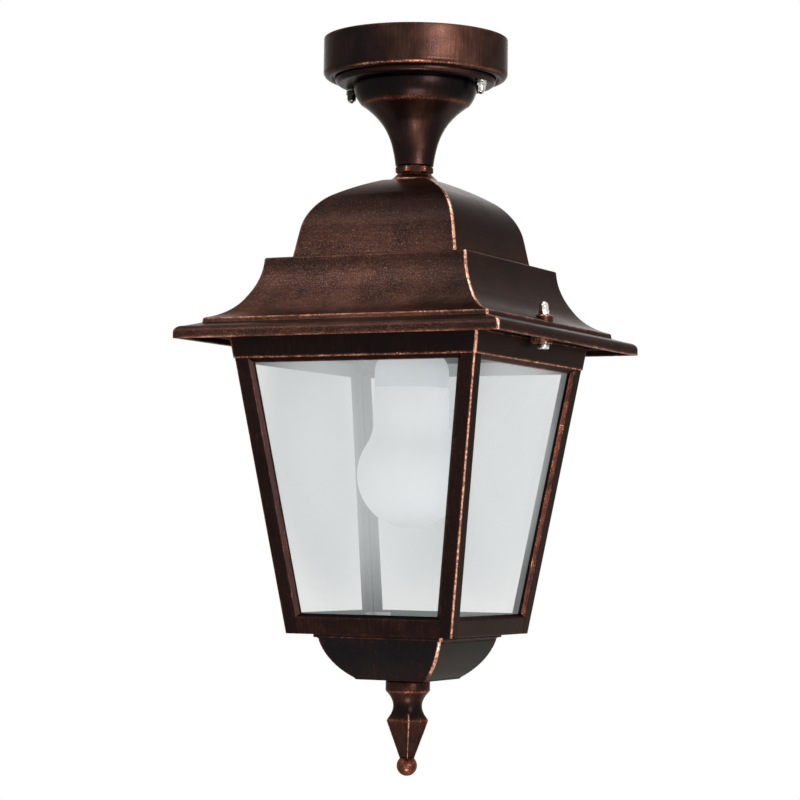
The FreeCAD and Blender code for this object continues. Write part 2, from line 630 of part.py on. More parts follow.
def glass_clips():
    clips = []
    screws = []
    top_plate = CAGE_TOP_Z - 4.0
    top_xy = cage_half(CAGE_TOP_Z) - 13
    end_plate = CAGE_END_Z + CAGE_FLOOR_T + 3.0
    end_xy = cage_half(CAGE_END_Z) - 14
    top_clip = corner_clip(top_plate, -184.0, 12).cut(cylinder(SCREW_R + 0.1, -180, -170, top_xy, top_xy))
    end_clip = corner_clip(end_plate, -324.0, 11).cut(cylinder(SCREW_R + 0.1, -332, -325, end_xy, end_xy))
    for turn in (0, 90, 180, 270):
        clips.append(turned(top_clip, turn))
        clips.append(turned(end_clip, turn))
        screws.append(turned(cheese_screw(top_xy, top_xy, top_plate - 0.9, 1, 3.2), turn))
        screws.append(turned(cheese_screw(end_xy, end_xy, end_plate + 0.9, -1, 5.6), turn))
    return group(clips), group(screws)


def rim_seal():
    """Square section rubber ring on the cage's rim."""
    ring = square_taper(SEAL_A, CAGE_TOP_Z + SEAL_H, SEAL_A, CAGE_TOP_Z)
    return ring.cut(square_taper(71.0, CAGE_TOP_Z + 4, 71.0, CAGE_TOP_Z - 2))


def bottom_cup():
    """Inverted square dome with a thin flange and four corner bosses for its screws."""
    a = CUP_A
    flange = CUP_FLANGE_A

    def outline(top_z):
        return [(0, top_z), (a, top_z), (a, -337.6), ((32.2, -348.6), (CUP_END_A + 0.5, -358.9)),
                (CUP_END_A, CUP_END_Z), (0, CUP_END_Z)]

    solid = vault_of(mirrored_wire(outline(CAGE_END_Z)), 60)
    rim = square_taper(flange, CAGE_END_Z, flange, -336.1)
    step = square_taper(a + 0.9, -336.1, a, -337.0)
    outer = fused([solid, rim, step])
    inner = vault_of(mirrored_wire(outline(CAGE_END_Z + 10)).makeOffset2D(-CUP_WALL), 60)
    cup = outer.cut(inner)
    bosses = []
    for sx in (-1, 1):
        for sy in (-1, 1):
            boss = box(min(sx * 25.4, sx * 36), max(sx * 25.4, sx * 36), min(sy * 25.4, sy * 36),
                       max(sy * 25.4, sy * 36), -342.5, CAGE_END_Z)
            bosses.append(boss.common(outer))
    cup = fused([cup] + bosses)
    for sx in (-1, 1):
        for sy in (-1, 1):
            cup = cup.cut(cylinder(SCREW_R + 0.05, -341, -330, sx * CUP_SCREW_XY, sy * CUP_SCREW_XY))
    return cup.cut(cylinder(FINIAL_STUD_R + 0.2, -362, -350))


def bulged_square(corner_r, middle_r, z):
    """Closed wire of four arcs through four corners; middle_r = corner_r gives a circle."""
    edges = []
    for i in range(4):
        a0 = math.radians(90 * i)
        a1 = math.radians(90 * i + 45)
        a2 = math.radians(90 * i + 90)
        edges.append(Part.Arc(Vector(corner_r * math.cos(a0), corner_r * math.sin(a0), z),
                              Vector(middle_r * math.cos(a1), middle_r * math.sin(a1), z),
                              Vector(corner_r * math.cos(a2), corner_r * math.sin(a2), z)).toShape())
    return Part.Wire(edges)


def finial():
    """Turned flange and waist that swell into a four-sided spear with slightly crowned faces and a ball."""
    waist_z = -374.0
    edge_z = FINIAL_SHOULDER_Z - 0.5
    crown = 0.714            # half width across the faces, as a share of the half width across the edges
    upper = revolved([(0, CUP_END_Z), (11.3, CUP_END_Z), (FINIAL_R, -360.6), (FINIAL_R, -365.9),
                      (11.6, -366.8),
                      ((9.2, -369.9), (8.05, waist_z)), (0, waist_z)])
    shoulder = bulged_square(FINIAL_SHOULDER_R, FINIAL_SHOULDER_R * crown, FINIAL_SHOULDER_Z)
    edge = bulged_square(FINIAL_SHOULDER_R, FINIAL_SHOULDER_R * crown, edge_z)
    tip = bulged_square(FINIAL_TIP_R, FINIAL_TIP_R * crown, FINIAL_TIP_Z)
    swell = Part.makeLoft([bulged_square(8.05, 8.05, waist_z), bulged_square(8.7, 7.95, -377.4),
                           bulged_square(9.9, 7.9, -379.6), shoulder], True, False)
    collar = Part.makeLoft([shoulder, edge], True, True)
    spear = Part.makeLoft([edge, tip], True, True)
    ball = Part.makeSphere(BALL_R, Vector(0, 0, BALL_Z))
    whole = fused([upper, swell, collar, spear, ball])
    whole = whole.cut(cylinder(FINIAL_STUD_R, -372, -355))
    return turned(whole, FINIAL_TURN)


def cage_parts():
    export("cage_frame", cage_frame())
    lug = cage_lug()
    export("cage_lugs", group([lug, turned(lug, 180)]))
    pane = glass_pane()
    for name, heading in SIDES.items():
        export("glass_pane_" + name, turned(pane, heading + 90))
    clips, screws = glass_clips()
    export("glass_clips", clips)
    export("glass_clip_screws", screws)
    export("rim_seal", rim_seal())
    head_z = LUG_END_Z - 0.6
    xs = (-FIX_X, FIX_X)
    export("roof_screws", group([pan_screw(x, head_z, 21.2, 3.2, 2.1, 0.8, 35) for x in xs]))
    export("roof_screw_washers", group([washer(3.5, SCREW_R + 0.1, head_z, LUG_END_Z, x) for x in xs]))
    export("bottom_cup", bottom_cup())
    cup_screws = []
    for sx in (-1, 1):
        for sy in (-1, 1):
            cup_screws.append(cheese_screw(sx * CUP_SCREW_XY, sy * CUP_SCREW_XY,
                                           CAGE_END_Z + CAGE_FLOOR_T, -1, 8.5))
    export("cup_screws", group(cup_screws))
    export("finial", finial())
    inside = CUP_END_Z + CUP_WALL
    export("finial_stud", cylinder(FINIAL_STUD_R, -372, -349.5))
    export("finial_washer", washer(6.2, FINIAL_STUD_R + 0.1, inside, inside + 1.2))
    export("finial_nut", hex_nut(10.0, FINIAL_STUD_R, inside + 1.2, inside + 6.2))


# ---------- the lamp ----------

def lamp_globe():
    """Pear-shaped opal bulb, hollow, open only where it meets the ballast housing."""
    tangent = math.radians(33)
    join = (GLOBE_R * math.cos(tangent), GLOBE_Z + GLOBE_R * math.sin(tangent))
    inner_r = GLOBE_R - GLOBE_WALL
    inner_join = (inner_r * math.cos(tangent), GLOBE_Z + inner_r * math.sin(tangent))
    neck = LAMP_NECK_R
    outer = [(0, GLOBE_Z - GLOBE_R), ((GLOBE_R * math.cos(-0.5), GLOBE_Z + GLOBE_R * math.sin(-0.5)), join),
             ((22.0, -222.6), (neck, -214.0)), (neck, LAMP_JOINT_Z)]
    inner = [(neck - GLOBE_WALL, LAMP_JOINT_Z), (neck - GLOBE_WALL, -214.0), ((20.8, -222.9), inner_join),
             ((inner_r * math.cos(-0.5), GLOBE_Z + inner_r * math.sin(-0.5)), (0, GLOBE_Z - inner_r))]
    return revolved(outer + inner)


def lamp_parts():
    export("lamp_globe", lamp_globe())
    shoulder = LAMP_SHOULDER_Z
    r = LAMP_NECK_R
    core = LAMP_CAP_R - 0.6
    housing = [(0, LAMP_JOINT_Z), (r - 0.2, LAMP_JOINT_Z), (r - 0.2, -187.0),
               ((r - 2.0, -181.6), (r - 6.2, shoulder)), (core, shoulder),
               (core, shoulder + 12), (0, shoulder + 12)]
    export("lamp_housing", revolved(housing))
    cap_top = shoulder + 21.0
    cap = [(core, shoulder), (LAMP_CAP_R, shoulder), (LAMP_CAP_R, cap_top - 1.5), (LAMP_CAP_R - 1.0, cap_top),
           (7.2, cap_top + 2.0), (7.2, cap_top + 1.3), (core - 0.9, cap_top - 0.8), (core, cap_top - 2.0)]
    export("lamp_cap", revolved(cap))
    insulator = [(0, cap_top - 0.5), (6.2, cap_top + 1.0), (7.2, cap_top + 1.3), (7.2, cap_top + 2.0),
                 (4.6, cap_top + 4.2), (0, cap_top + 4.2)]
    export("lamp_insulator", revolved(insulator))
    tip_low = cap_top + 4.2
    export("lamp_contact", revolved([(0, tip_low), (4.2, tip_low), (4.2, tip_low + 0.2),
                                     (3.6, LAMP_TIP_Z), (0, LAMP_TIP_Z)]))


os.makedirs("parts", exist_ok=True)
ceiling_parts()
roof_parts()
cage_parts()
lamp_parts()
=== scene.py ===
import json
import math

import bmesh
import bpy
import numpy as np
from mathutils import Matrix, Vector


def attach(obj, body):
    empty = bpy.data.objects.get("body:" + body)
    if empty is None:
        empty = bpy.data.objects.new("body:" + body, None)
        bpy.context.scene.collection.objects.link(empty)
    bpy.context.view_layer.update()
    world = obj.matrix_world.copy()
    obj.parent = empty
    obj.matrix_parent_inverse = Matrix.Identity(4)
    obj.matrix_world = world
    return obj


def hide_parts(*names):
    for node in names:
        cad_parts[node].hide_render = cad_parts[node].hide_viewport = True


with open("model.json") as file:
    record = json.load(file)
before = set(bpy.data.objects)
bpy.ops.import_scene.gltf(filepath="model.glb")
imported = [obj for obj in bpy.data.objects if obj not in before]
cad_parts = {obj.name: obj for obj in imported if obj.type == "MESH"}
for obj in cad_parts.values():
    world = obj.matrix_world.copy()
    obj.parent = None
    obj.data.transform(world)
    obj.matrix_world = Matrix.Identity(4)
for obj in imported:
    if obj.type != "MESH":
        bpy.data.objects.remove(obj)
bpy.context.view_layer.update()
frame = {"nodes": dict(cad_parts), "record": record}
mm = 0.001
print("frame loaded:", len(frame["nodes"]), "nodes")


class Sock:
    # one output socket; arithmetic on it adds Math nodes to the same tree
    def __init__(self, tree, socket):
        self.tree = tree
        self.socket = socket

    def math(self, operation, *terms):
        inputs = dict(enumerate(terms))
        return addNode(self.tree, "ShaderNodeMath", {"operation": operation}, inputs)

    def __add__(self, other):
        return self.math("ADD", self, other)

    def __sub__(self, other):
        return self.math("SUBTRACT", self, other)

    def __rsub__(self, other):
        return self.math("SUBTRACT", other, self)

    def __mul__(self, other):
        return self.math("MULTIPLY", self, other)

    def __pow__(self, other):
        return self.math("POWER", self, other)

    def __rpow__(self, other):
        return self.math("POWER", other, self)

    __radd__ = __add__
    __rmul__ = __mul__

    def larger(self, other):
        return self.math("MAXIMUM", self, other)

    def ramp(self, low, high):
        # 0 below low, 1 above high, smooth between
        inputs = {"Value": self, "From Min": low, "From Max": high}
        return addNode(self.tree, "ShaderNodeMapRange", {"interpolation_type": "SMOOTHSTEP"}, inputs)


def addNode(tree, kind, settings=None, inputs=None, output=0):
    # settings first, then each socket gets a value or a link
    node = tree.nodes.new(kind)
    for key, value in (settings or {}).items():
        setattr(node, key, value)
    for key, value in (inputs or {}).items():
        if isinstance(value, Sock):
            tree.links.new(value.socket, node.inputs[key])
        else:
            node.inputs[key].default_value = value
    return Sock(tree, node.outputs[output])


class Finish:
    # one material: a Principled shader, and short names for the nodes it needs
    def __init__(self, name, **fixed):
        self.material = bpy.data.materials.new(name)
        self.material.use_nodes = True
        self.tree = self.material.node_tree
        self.shader = self.tree.nodes["Principled BSDF"]
        for key, value in fixed.items():
            self.shader.inputs[key].default_value = value
        self.place = self.add("ShaderNodeTexCoord", output="Object")

    def add(self, kind, settings=None, inputs=None, output=0):
        return addNode(self.tree, kind, settings, inputs, output)

    def attribute(self, name):
        return self.add("ShaderNodeAttribute", {"attribute_name": name}, output="Fac")

    def flow(self, across, along):
        # the piece's own map in metres, stretched so that a pattern runs along or across it
        uv = self.add("ShaderNodeUVMap", {"uv_map": "flow"})
        return self.add("ShaderNodeMapping", {}, {"Vector": uv, "Scale": (across, along, 1.0)})

    def noise(self, scale, detail=3.0, rough=0.55, place=None, warp=0.0):
        inputs = {"Vector": place or self.place, "Scale": scale, "Detail": detail, "Roughness": rough,
                  "Distortion": warp}
        return self.add("ShaderNodeTexNoise", {}, inputs)

    def blend(self, factor, first, second):
        return self.add("ShaderNodeMix", {"data_type": "RGBA"}, {0: factor, 6: first, 7: second}, 2)

    def bump(self, height, depth, strength=1.0):
        return self.add("ShaderNodeBump", {}, {"Height": height, "Distance": depth, "Strength": strength})

    def give(self, **links):
        for key, value in links.items():
            name = key.replace("_", " ")
            if isinstance(value, Sock):
                self.tree.links.new(value.socket, self.shader.inputs[name])
            else:
                self.shader.inputs[name].default_value = value
        return self.material


def rgb(red, green, blue):
    # a colour as it is seen on screen, 0 to 255, made linear
    c = np.array([red, green, blue]) / 255.0
    linear = np.where(c <= 0.04045, c / 12.92, ((c + 0.055) / 1.055) ** 2.4)
    return (*linear.tolist(), 1.0)


def rubbedCopper(name, look):
    # near-black patina, brown brush strokes where it was rubbed, bare copper where edges are worn through;
    # the rub and wear attributes also carry painted light, shade and highlights
    f = Finish(name, **{"Specular IOR Level": look["specular"], "Specular Tint": look["rim"]})
    wear = f.attribute("wear")
    rub = f.attribute("rub")
    across, along = look["stroke"]
    finerAcross, finerAlong = look["strokeFiner"]
    cloud = f.noise(look["cloud"], 3.0, 0.6)
    patch = f.noise(look["cloud"] * look["patchFiner"], 2.0, 0.5)
    stroke = f.noise(1.0, 4.0, 0.65, f.flow(across, along))
    fineStroke = f.noise(1.0, 3.0, 0.7, f.flow(across * finerAcross, along * finerAlong))
    grain = f.noise(look["grain"], 2.0, 0.6)
    # painted glints: pale flecks in the colour where the grain would sparkle, more where rub is high
    glintSpeck = f.noise(look["glintSpeck"], 1.0, 0.5).ramp(*look["glintRange"])
    # tint: how far the strokes have opened the patina, thick in clouds, none where nothing rubs; through rub
    # it also carries painted light and shade
    thick = cloud.ramp(*look["cloudRange"]) * look["cloudShare"] + (1 - look["cloudShare"])
    brushed = stroke.ramp(*look["strokeRange"]) * look["strokeShare"] + (1 - look["strokeShare"])
    tint = rub * thick * brushed
    scratch = fineStroke.ramp(*look["scratchRange"]) * rub * (cloud.ramp(0.35, 0.6) * 0.7 + 0.3)
    # bare edge: wear with a border made ragged by grain, strokes and slow patches along the edge, and a
    # wider brown halo round it
    rag = (grain - 0.5) * look["rag"] + (patch - 0.5) * look["patchy"] + (stroke - 0.5) * 0.3
    edge = (wear + rag).ramp(*look["edgeRange"])
    halo = (wear ** 0.75 * 1.3 + rag).ramp(*look["haloRange"])
    bead = f.noise(look["bead"], 1.0).ramp(*look["beadRange"])
    colour = f.blend(tint, look["dark"], look["brown"])
    colour = f.blend(scratch * look["scratch"], colour, look["rust"])
    colour = f.blend(halo * look["haloShow"], colour, look["fringe"])
    colour = f.blend(glintSpeck * rub * look["glintShow"], colour, look["glintColour"])
    colour = f.blend(edge * (0.25 + 0.75 * bead), colour, look["copper"])
    rough = look["rough"] + (cloud - 0.5) * 0.14 + (grain - 0.5) * 0.10 - edge * 0.06 - scratch * 0.05
    height = grain * 0.5 + stroke * 0.5 + cloud * 0.3
    return f.give(Base_Color=colour, Roughness=rough, Metallic=look["metal"] + edge * 0.1,
                  Normal=f.bump(height, look["relief"]))


# scales count per metre, a Range is where a noise goes from none to full, a Share or Show is how much it does
copperLook = {
    "dark": rgb(19, 15, 15), "brown": rgb(78, 50, 41), "rust": rgb(126, 72, 52), "fringe": rgb(110, 58, 42),
    "glintColour": rgb(160, 122, 106), "copper": rgb(232, 174, 148), "rim": (0.5, 0.48, 0.46, 1.0),
    "specular": 0.14, "rough": 0.34, "metal": 0.82, "relief": 0.00010,
    "cloud": 38.0, "cloudRange": (0.32, 0.64), "cloudShare": 0.6, "patchFiner": 3.1,
    "stroke": (1400.0, 90.0), "strokeRange": (0.25, 0.75), "strokeShare": 0.6, "strokeFiner": (2.3, 1.6),
    "scratch": 0.5, "scratchRange": (0.55, 0.72), "grain": 1300.0,
    # the specks set on the next line are painted glints
    "glintSpeck": 1500.0, "glintRange": (0.6, 0.78), "glintShow": 0.25,
    "rag": 1.2, "patchy": 0.7, "edgeRange": (0.42, 0.85), "haloRange": (0.2, 0.95), "haloShow": 0.75,
    "bead": 620.0, "beadRange": (0.35, 0.6),
}
copperRoof = rubbedCopper("rubbedCopperRoof", {
    **copperLook, "brown": rgb(80, 51, 42), "rim": (0.46, 0.44, 0.43, 1.0), "cloud": 42.0,
    "stroke": (70.0, 700.0), "strokeShare": 0.5, "scratch": 0.4, "grain": 1700.0, "glintSpeck": 1800.0,
    "glintRange": (0.52, 0.74), "glintShow": 0.42})
copperTurned = rubbedCopper("rubbedCopperTurned", {
    **copperLook, "dark": rgb(15, 13, 15), "brown": rgb(98, 65, 54), "rust": rgb(144, 82, 62),
    "stroke": (700.0, 45.0), "strokeShare": 0.45, "scratch": 0.7, "glintShow": 0.0, "rough": 0.30})
copperCage = rubbedCopper("rubbedCopperCage", {
    **copperLook, "brown": rgb(56, 33, 28), "stroke": (800.0, 70.0), "glintShow": 0.1})
copperCup = rubbedCopper("rubbedCopperCup", {
    **copperLook, "dark": rgb(22, 21, 24), "brown": rgb(52, 33, 29), "rim": (0.46, 0.46, 0.44, 1.0),
    "stroke": (600.0, 90.0), "glintShow": 0.1})
copperSmall = rubbedCopper("rubbedCopperSmall", {
    **copperLook, "brown": rgb(66, 40, 32), "rust": rgb(112, 64, 48), "cloud": 90.0,
    "stroke": (900.0, 200.0), "glintShow": 0.0, "rough": 0.32, "rag": 0.9, "patchy": 0.4,
    "relief": 0.00002})
print("copper finishes made")


def plainMetal(name, colour, rough, mottle, metallic=1.0, grainScale=700.0):
    # mottle darkens and dulls the metal in small clouds
    f = Finish(name)
    cloud = f.noise(220.0, 3.0, 0.6)
    grain = f.noise(grainScale, 2.0)
    dark = tuple(c * (1.0 - mottle) for c in colour[:3]) + (1.0,)
    tone = f.blend(cloud.ramp(0.35, 0.7), colour, dark)
    return f.give(Base_Color=tone, Metallic=metallic, Roughness=(cloud - 0.5) * 0.12 + grain * 0.08 + rough,
                  Normal=f.bump(grain, 0.00002))


def mouldedPlastic(name, colour, rough, grainScale=1500.0, coat=0.0):
    # one colour, a tenth darker in slow clouds, with a fine moulded grain
    f = Finish(name, **{"Coat Weight": coat, "Coat Roughness": 0.1})
    cloud = f.noise(60.0, 3.0)
    grain = f.noise(grainScale, 2.0)
    shade = tuple(c * 0.9 for c in colour[:3]) + (1.0,)
    tone = f.blend(cloud.ramp(0.35, 0.7), colour, shade)
    return f.give(Base_Color=tone, Roughness=rough + (grain - 0.5) * 0.08, Normal=f.bump(grain, 0.00001))


def paneGlass(name, look):
    # a clear sheet with a veil of painted reflection and painted glow that is thickest beside the lamp, wiped
    # smears and a faint ripple
    f = Finish(name, **{"IOR": 1.5, "Specular IOR Level": 0.2, "Emission Strength": look["paintedGlow"]})
    smear = f.noise(14.0, 3.0, 0.5, warp=0.6)
    ripple = f.noise(9.0, 1.0)
    spread = (1 / look["wide"], 1 / look["wide"], 1 / look["tall"])
    centred = f.add("ShaderNodeMapping", {}, {"Vector": f.place, "Scale": spread,
                                              "Location": (0, 0, -look["heart"] / look["tall"])})
    away = f.add("ShaderNodeVectorMath", {"operation": "LENGTH"}, {"Vector": centred}, "Value")
    # painted light: the veil whitens and glows towards the lamp
    glow = (1 - away).ramp(0.0, look["soft"])
    paintedReflection = glow * look["glow"] + (smear - 0.5) * look["smear"] + look["paintedReflection"]
    tone = f.blend(glow, look["colour"], look["pale"])
    return f.give(Base_Color=tone, Emission_Color=look["shine"], Alpha=paintedReflection,
                  Roughness=look["rough"] + smear * 0.05, Normal=f.bump(ripple, 0.0006, 0.3))


def bulbGlass(name, look):
    # opal: a pale mottle, and an even glow for the room light that passes through the milky wall
    f = Finish(name, **{"Specular IOR Level": 0.25, "Emission Strength": look["paintedGlow"]})
    cloud = f.noise(30.0, 2.0)
    tone = f.blend(cloud.ramp(0.35, 0.7), look["colour"], look["cool"])
    rough = (cloud - 0.5) * 0.1 + look["rough"]
    return f.give(Base_Color=tone, Emission_Color=look["glow"], Roughness=rough,
                  Normal=f.bump(f.noise(400.0, 2.0), 0.00001))


def agedNickel(name):
    # bright nickel where rub is 0, dark oxide where it is 1, with specks of each in the other
    f = Finish(name, Metallic=1.0)
    cloud = f.noise(420.0, 3.0, 0.6)
    old = (f.attribute("rub") + (cloud - 0.5) * 0.6).ramp(0.25, 0.75)
    bright = f.blend(cloud.ramp(0.4, 0.7), rgb(206, 202, 196), rgb(120, 118, 114))
    return f.give(Base_Color=f.blend(old, bright, rgb(44, 42, 36)), Roughness=old * 0.2 + 0.14,
                  Normal=f.bump(cloud, 0.00004))


finishes = {
    "zinc_steel": plainMetal("zincSteel", rgb(190, 190, 188), 0.32, 0.25),
    "polished_nickel": plainMetal("polishedNickel", rgb(214, 210, 204), 0.12, 0.3),
    "brass": plainMetal("contactBrass", rgb(214, 176, 104), 0.26, 0.25),
    "block_plastic": mouldedPlastic("blockPlastic", rgb(228, 226, 216), 0.5),
    "black_insulator": mouldedPlastic("blackInsulator", rgb(24, 24, 26), 0.3),
    "white_ceramic": mouldedPlastic("glazedCeramic", rgb(236, 234, 228), 0.22, 500.0, 0.5),
    "seal_rubber": mouldedPlastic("sealRubber", rgb(30, 30, 31), 0.75, 2400.0),
    # the housing and the bulb glow though the lamp is off: painted glow
    "white_housing": bulbGlass("lampHousing", {"colour": rgb(176, 182, 188), "cool": rgb(160, 168, 176),
                                               "glow": rgb(244, 250, 255), "paintedGlow": 0.42, "rough": 0.5}),
    "opal_glass": bulbGlass("opalBulb", {"colour": rgb(198, 200, 202), "cool": rgb(188, 191, 194),
                                         "glow": rgb(250, 252, 255), "paintedGlow": 0.5, "rough": 0.5}),
    "antique_bronze": copperSmall,
    "clear_glass": paneGlass("paneGlass", {
        "colour": rgb(98, 101, 104), "pale": rgb(150, 152, 154), "shine": rgb(242, 249, 247),
        "paintedReflection": 0.13, "glow": 0.24, "smear": 0.04, "wide": 0.094, "tall": 0.14, "heart": -0.21,
        "soft": 0.28, "rough": 0.05, "paintedGlow": 0.36}),
}
print("other finishes made")


def arcThrough(a, b, c, count):
    # points on the circle through a, b and c, from a past b to c
    a, b, c = (np.array(p, float) for p in (a, b, c))
    m = np.array([b - a, c - b])
    centre = np.linalg.solve(m, np.array([m[0] @ (a + b) / 2, m[1] @ (b + c) / 2]))
    radius = np.linalg.norm(a - centre)
    start, middle, end = (math.atan2(*(p - centre)[::-1]) for p in (a, b, c))
    forward = (end - start) % (2 * math.pi)
    sweep = forward if (middle - start) % (2 * math.pi) < forward else forward - 2 * math.pi
    angle = start + sweep * np.linspace(0, 1, count)
    return centre + radius * np.stack([np.cos(angle), np.sin(angle)], 1)


def trace(steps, arcCount=13):
    # corners and arcs to one polyline: (x, z) is a corner, ((x, z), (x, z)) an arc through the first
    runs = [np.array([steps[0]], float)]
    for step in steps[1:]:
        if isinstance(step[0], tuple):
            runs.append(arcThrough(runs[-1][-1], step[0], step[1], arcCount)[1:])
        else:
            runs.append(np.array([step], float))
    return np.concatenate(runs)


def outline(seen, hidden=(), soft=0.4, step=1.6, wearWidth=1.0, crease=0.30, creaseWear=0.7, axis=True,
            bend=5):
    # A closed section. Each corner sharper than crease (radians) becomes a curve of size soft with bend
    # points, long runs get extra points, and wear is a bell over the distance to the nearest outward
    # corner of the seen part.
    seenPoints = trace(list(seen))
    points = trace(list(seen) + list(hidden))
    points = points[np.linalg.norm(points - np.roll(points, -1, 0), axis=1) > 1e-6]
    shown = np.arange(len(points)) < len(seenPoints)
    before = np.roll(points, 1, 0) - points
    after = np.roll(points, -1, 0) - points
    lenBefore = np.linalg.norm(before, axis=1)
    lenAfter = np.linalg.norm(after, axis=1)
    cross = -before[:, 0] * after[:, 1] + before[:, 1] * after[:, 0]
    dot = -(before * after).sum(1)
    turn = np.arctan2(cross, dot)
    nextPoint = np.roll(points, -1, 0)
    area = (points[:, 0] * nextPoint[:, 1] - nextPoint[:, 0] * points[:, 1]).sum() / 2
    outward = turn * np.sign(area)
    sharp = np.abs(turn) > crease
    if axis:
        sharp &= points[:, 0] > 1e-6
    reach = np.minimum(soft, 0.45 * np.minimum(lenBefore, lenAfter))
    t = np.linspace(0, 1, bend)[None, :, None]
    enter = (points + before / lenBefore[:, None] * reach[:, None])[:, None]
    leave = (points + after / lenAfter[:, None] * reach[:, None])[:, None]
    middle = points[:, None]
    curve = enter * (1 - t) ** 2 + 2 * middle * t * (1 - t) + leave * t ** 2
    keep = np.ones((len(points), bend), bool)
    keep[~sharp, 1:] = False
    curve[~sharp] = middle[~sharp]
    power = creaseWear * np.where(sharp, np.clip(outward, 0, 1), 0)
    flat = curve[keep]
    flag = np.repeat(shown[:, None], bend, 1)[keep]
    # extra points on long runs
    gap = np.linalg.norm(np.roll(flat, -1, 0) - flat, axis=1)
    count = np.maximum(1, np.ceil(gap / step).astype(int))
    start = np.repeat(np.arange(len(flat)), count)
    share = np.concatenate([np.arange(n) / n for n in count])[:, None]
    section = flat[start] * (1 - share) + np.roll(flat, -1, 0)[start] * share
    flag = flag[start]
    away = np.linalg.norm(section[:, None] - points[None], axis=2)
    wear = (power * np.exp(-(away / wearWidth) ** 2)).max(1) * flag
    length = np.concatenate([[0], np.cumsum(np.linalg.norm(np.diff(section, axis=0), axis=1))])
    return {"at": section, "wear": wear, "seen": flag.astype(float), "length": length}


def roundPath(shape, columns=96, centre=(0.0, 0.0)):
    # the section carried round a vertical axis: x = r cos a, y = r sin a
    angle = np.linspace(0, 2 * np.pi, columns, endpoint=False)[None]
    r = shape["at"][:, :1]
    x = centre[0] + r * np.cos(angle)
    y = centre[1] + r * np.sin(angle)
    z = np.repeat(shape["at"][:, 1:], columns, 1)
    wear = np.repeat(shape["wear"][:, None], columns, 1)
    rub = np.repeat(shape["seen"][:, None], columns, 1)
    widest = shape["at"][:, 0].max()
    u = widest * angle + 0 * r
    v = shape["length"][:, None] + 0 * u
    return {"xyz": np.stack([x, y, z], 2), "uv": np.stack([u, v], 2), "wear": wear, "rub": rub}


def squarePath(shape, soft=0.8, sideRubAndPaintedLight=(1.0, 0.35, 0.8, 0.6), mitre=(0.85, 0.5, 0.62, 0.42),
               mitreWidth=0.5, across=18, turn=5, crowd=2.2):
    # The section carried round a square, front side first. On each side the points crowd towards its ends,
    # a quarter circle of radius soft joins two sides, and wear falls off with the distance from the mitre.
    half = shape["at"][:, 0]
    small = np.minimum(soft, half * 0.3)[:, None]
    t = np.linspace(-1, 1, 2 * across + 1)
    f = (np.sign(t) * (1 - (1 - np.abs(t)) ** crowd))[None]
    reach = half[:, None] - small
    sideX = reach * f
    sideY = -half[:, None] + 0 * f
    a = np.linspace(-np.pi / 2, 0, turn + 2)[1:-1][None]
    arcX = reach + small * np.cos(a)
    arcY = -reach + small * np.sin(a)
    x = np.concatenate([sideX, arcX], 1)
    y = np.concatenate([sideY, arcY], 1)
    inset = np.concatenate([reach - np.abs(sideX), 0 * arcX], 1)
    near = np.exp(-(inset / mitreWidth) ** 2) * shape["seen"][:, None]
    ahead = np.concatenate([sideX > 0, np.full(arcX.shape, True)], 1)
    run = np.concatenate([sideX, reach + small * (a + np.pi / 2)], 1)
    xs, ys, us, rubs, corners = [], [], [], [], []
    # each side's rub level paints light and shade: a side is lighter or darker by how light falls on it
    for k, amount in enumerate(sideRubAndPaintedLight):
        c, s = round(math.cos(k * math.pi / 2)), round(math.sin(k * math.pi / 2))
        xs.append(c * x - s * y)
        ys.append(s * x + c * y)
        us.append(run + 2 * k * half.max())
        following = sideRubAndPaintedLight[(k + 1) % 4]
        level = np.full(x.shape, amount)
        level[:, -turn:] = np.linspace(amount, following, turn)[None]
        rubs.append(level * shape["seen"][:, None])
        corners.append(near * np.where(ahead, mitre[k], mitre[k - 1]))
    xyz = np.stack([np.concatenate(xs, 1), np.concatenate(ys, 1),
                    np.repeat(shape["at"][:, 1:], 4 * x.shape[1], 1)], 2)
    u = np.concatenate(us, 1)
    wear = np.maximum(np.concatenate(corners, 1), shape["wear"][:, None])
    v = shape["length"][:, None] + 0 * u
    return {"xyz": xyz, "uv": np.stack([u, v], 2), "wear": wear, "rub": np.concatenate(rubs, 1)}


def patchFaces(rows, columns, first, wrapRows, wrapColumns):
    # four corner numbers per cell of a grid, wrapped where the surface closes on itself
    i = np.arange(rows if wrapRows else rows - 1)[:, None]
    j = np.arange(columns if wrapColumns else columns - 1)[None]
    nextI, nextJ = (i + 1) % rows, (j + 1) % columns
    corners = [i * columns + j, i * columns + nextJ, nextI * columns + nextJ, nextI * columns + j]
    return first + np.stack([c.ravel() for c in corners], 1)


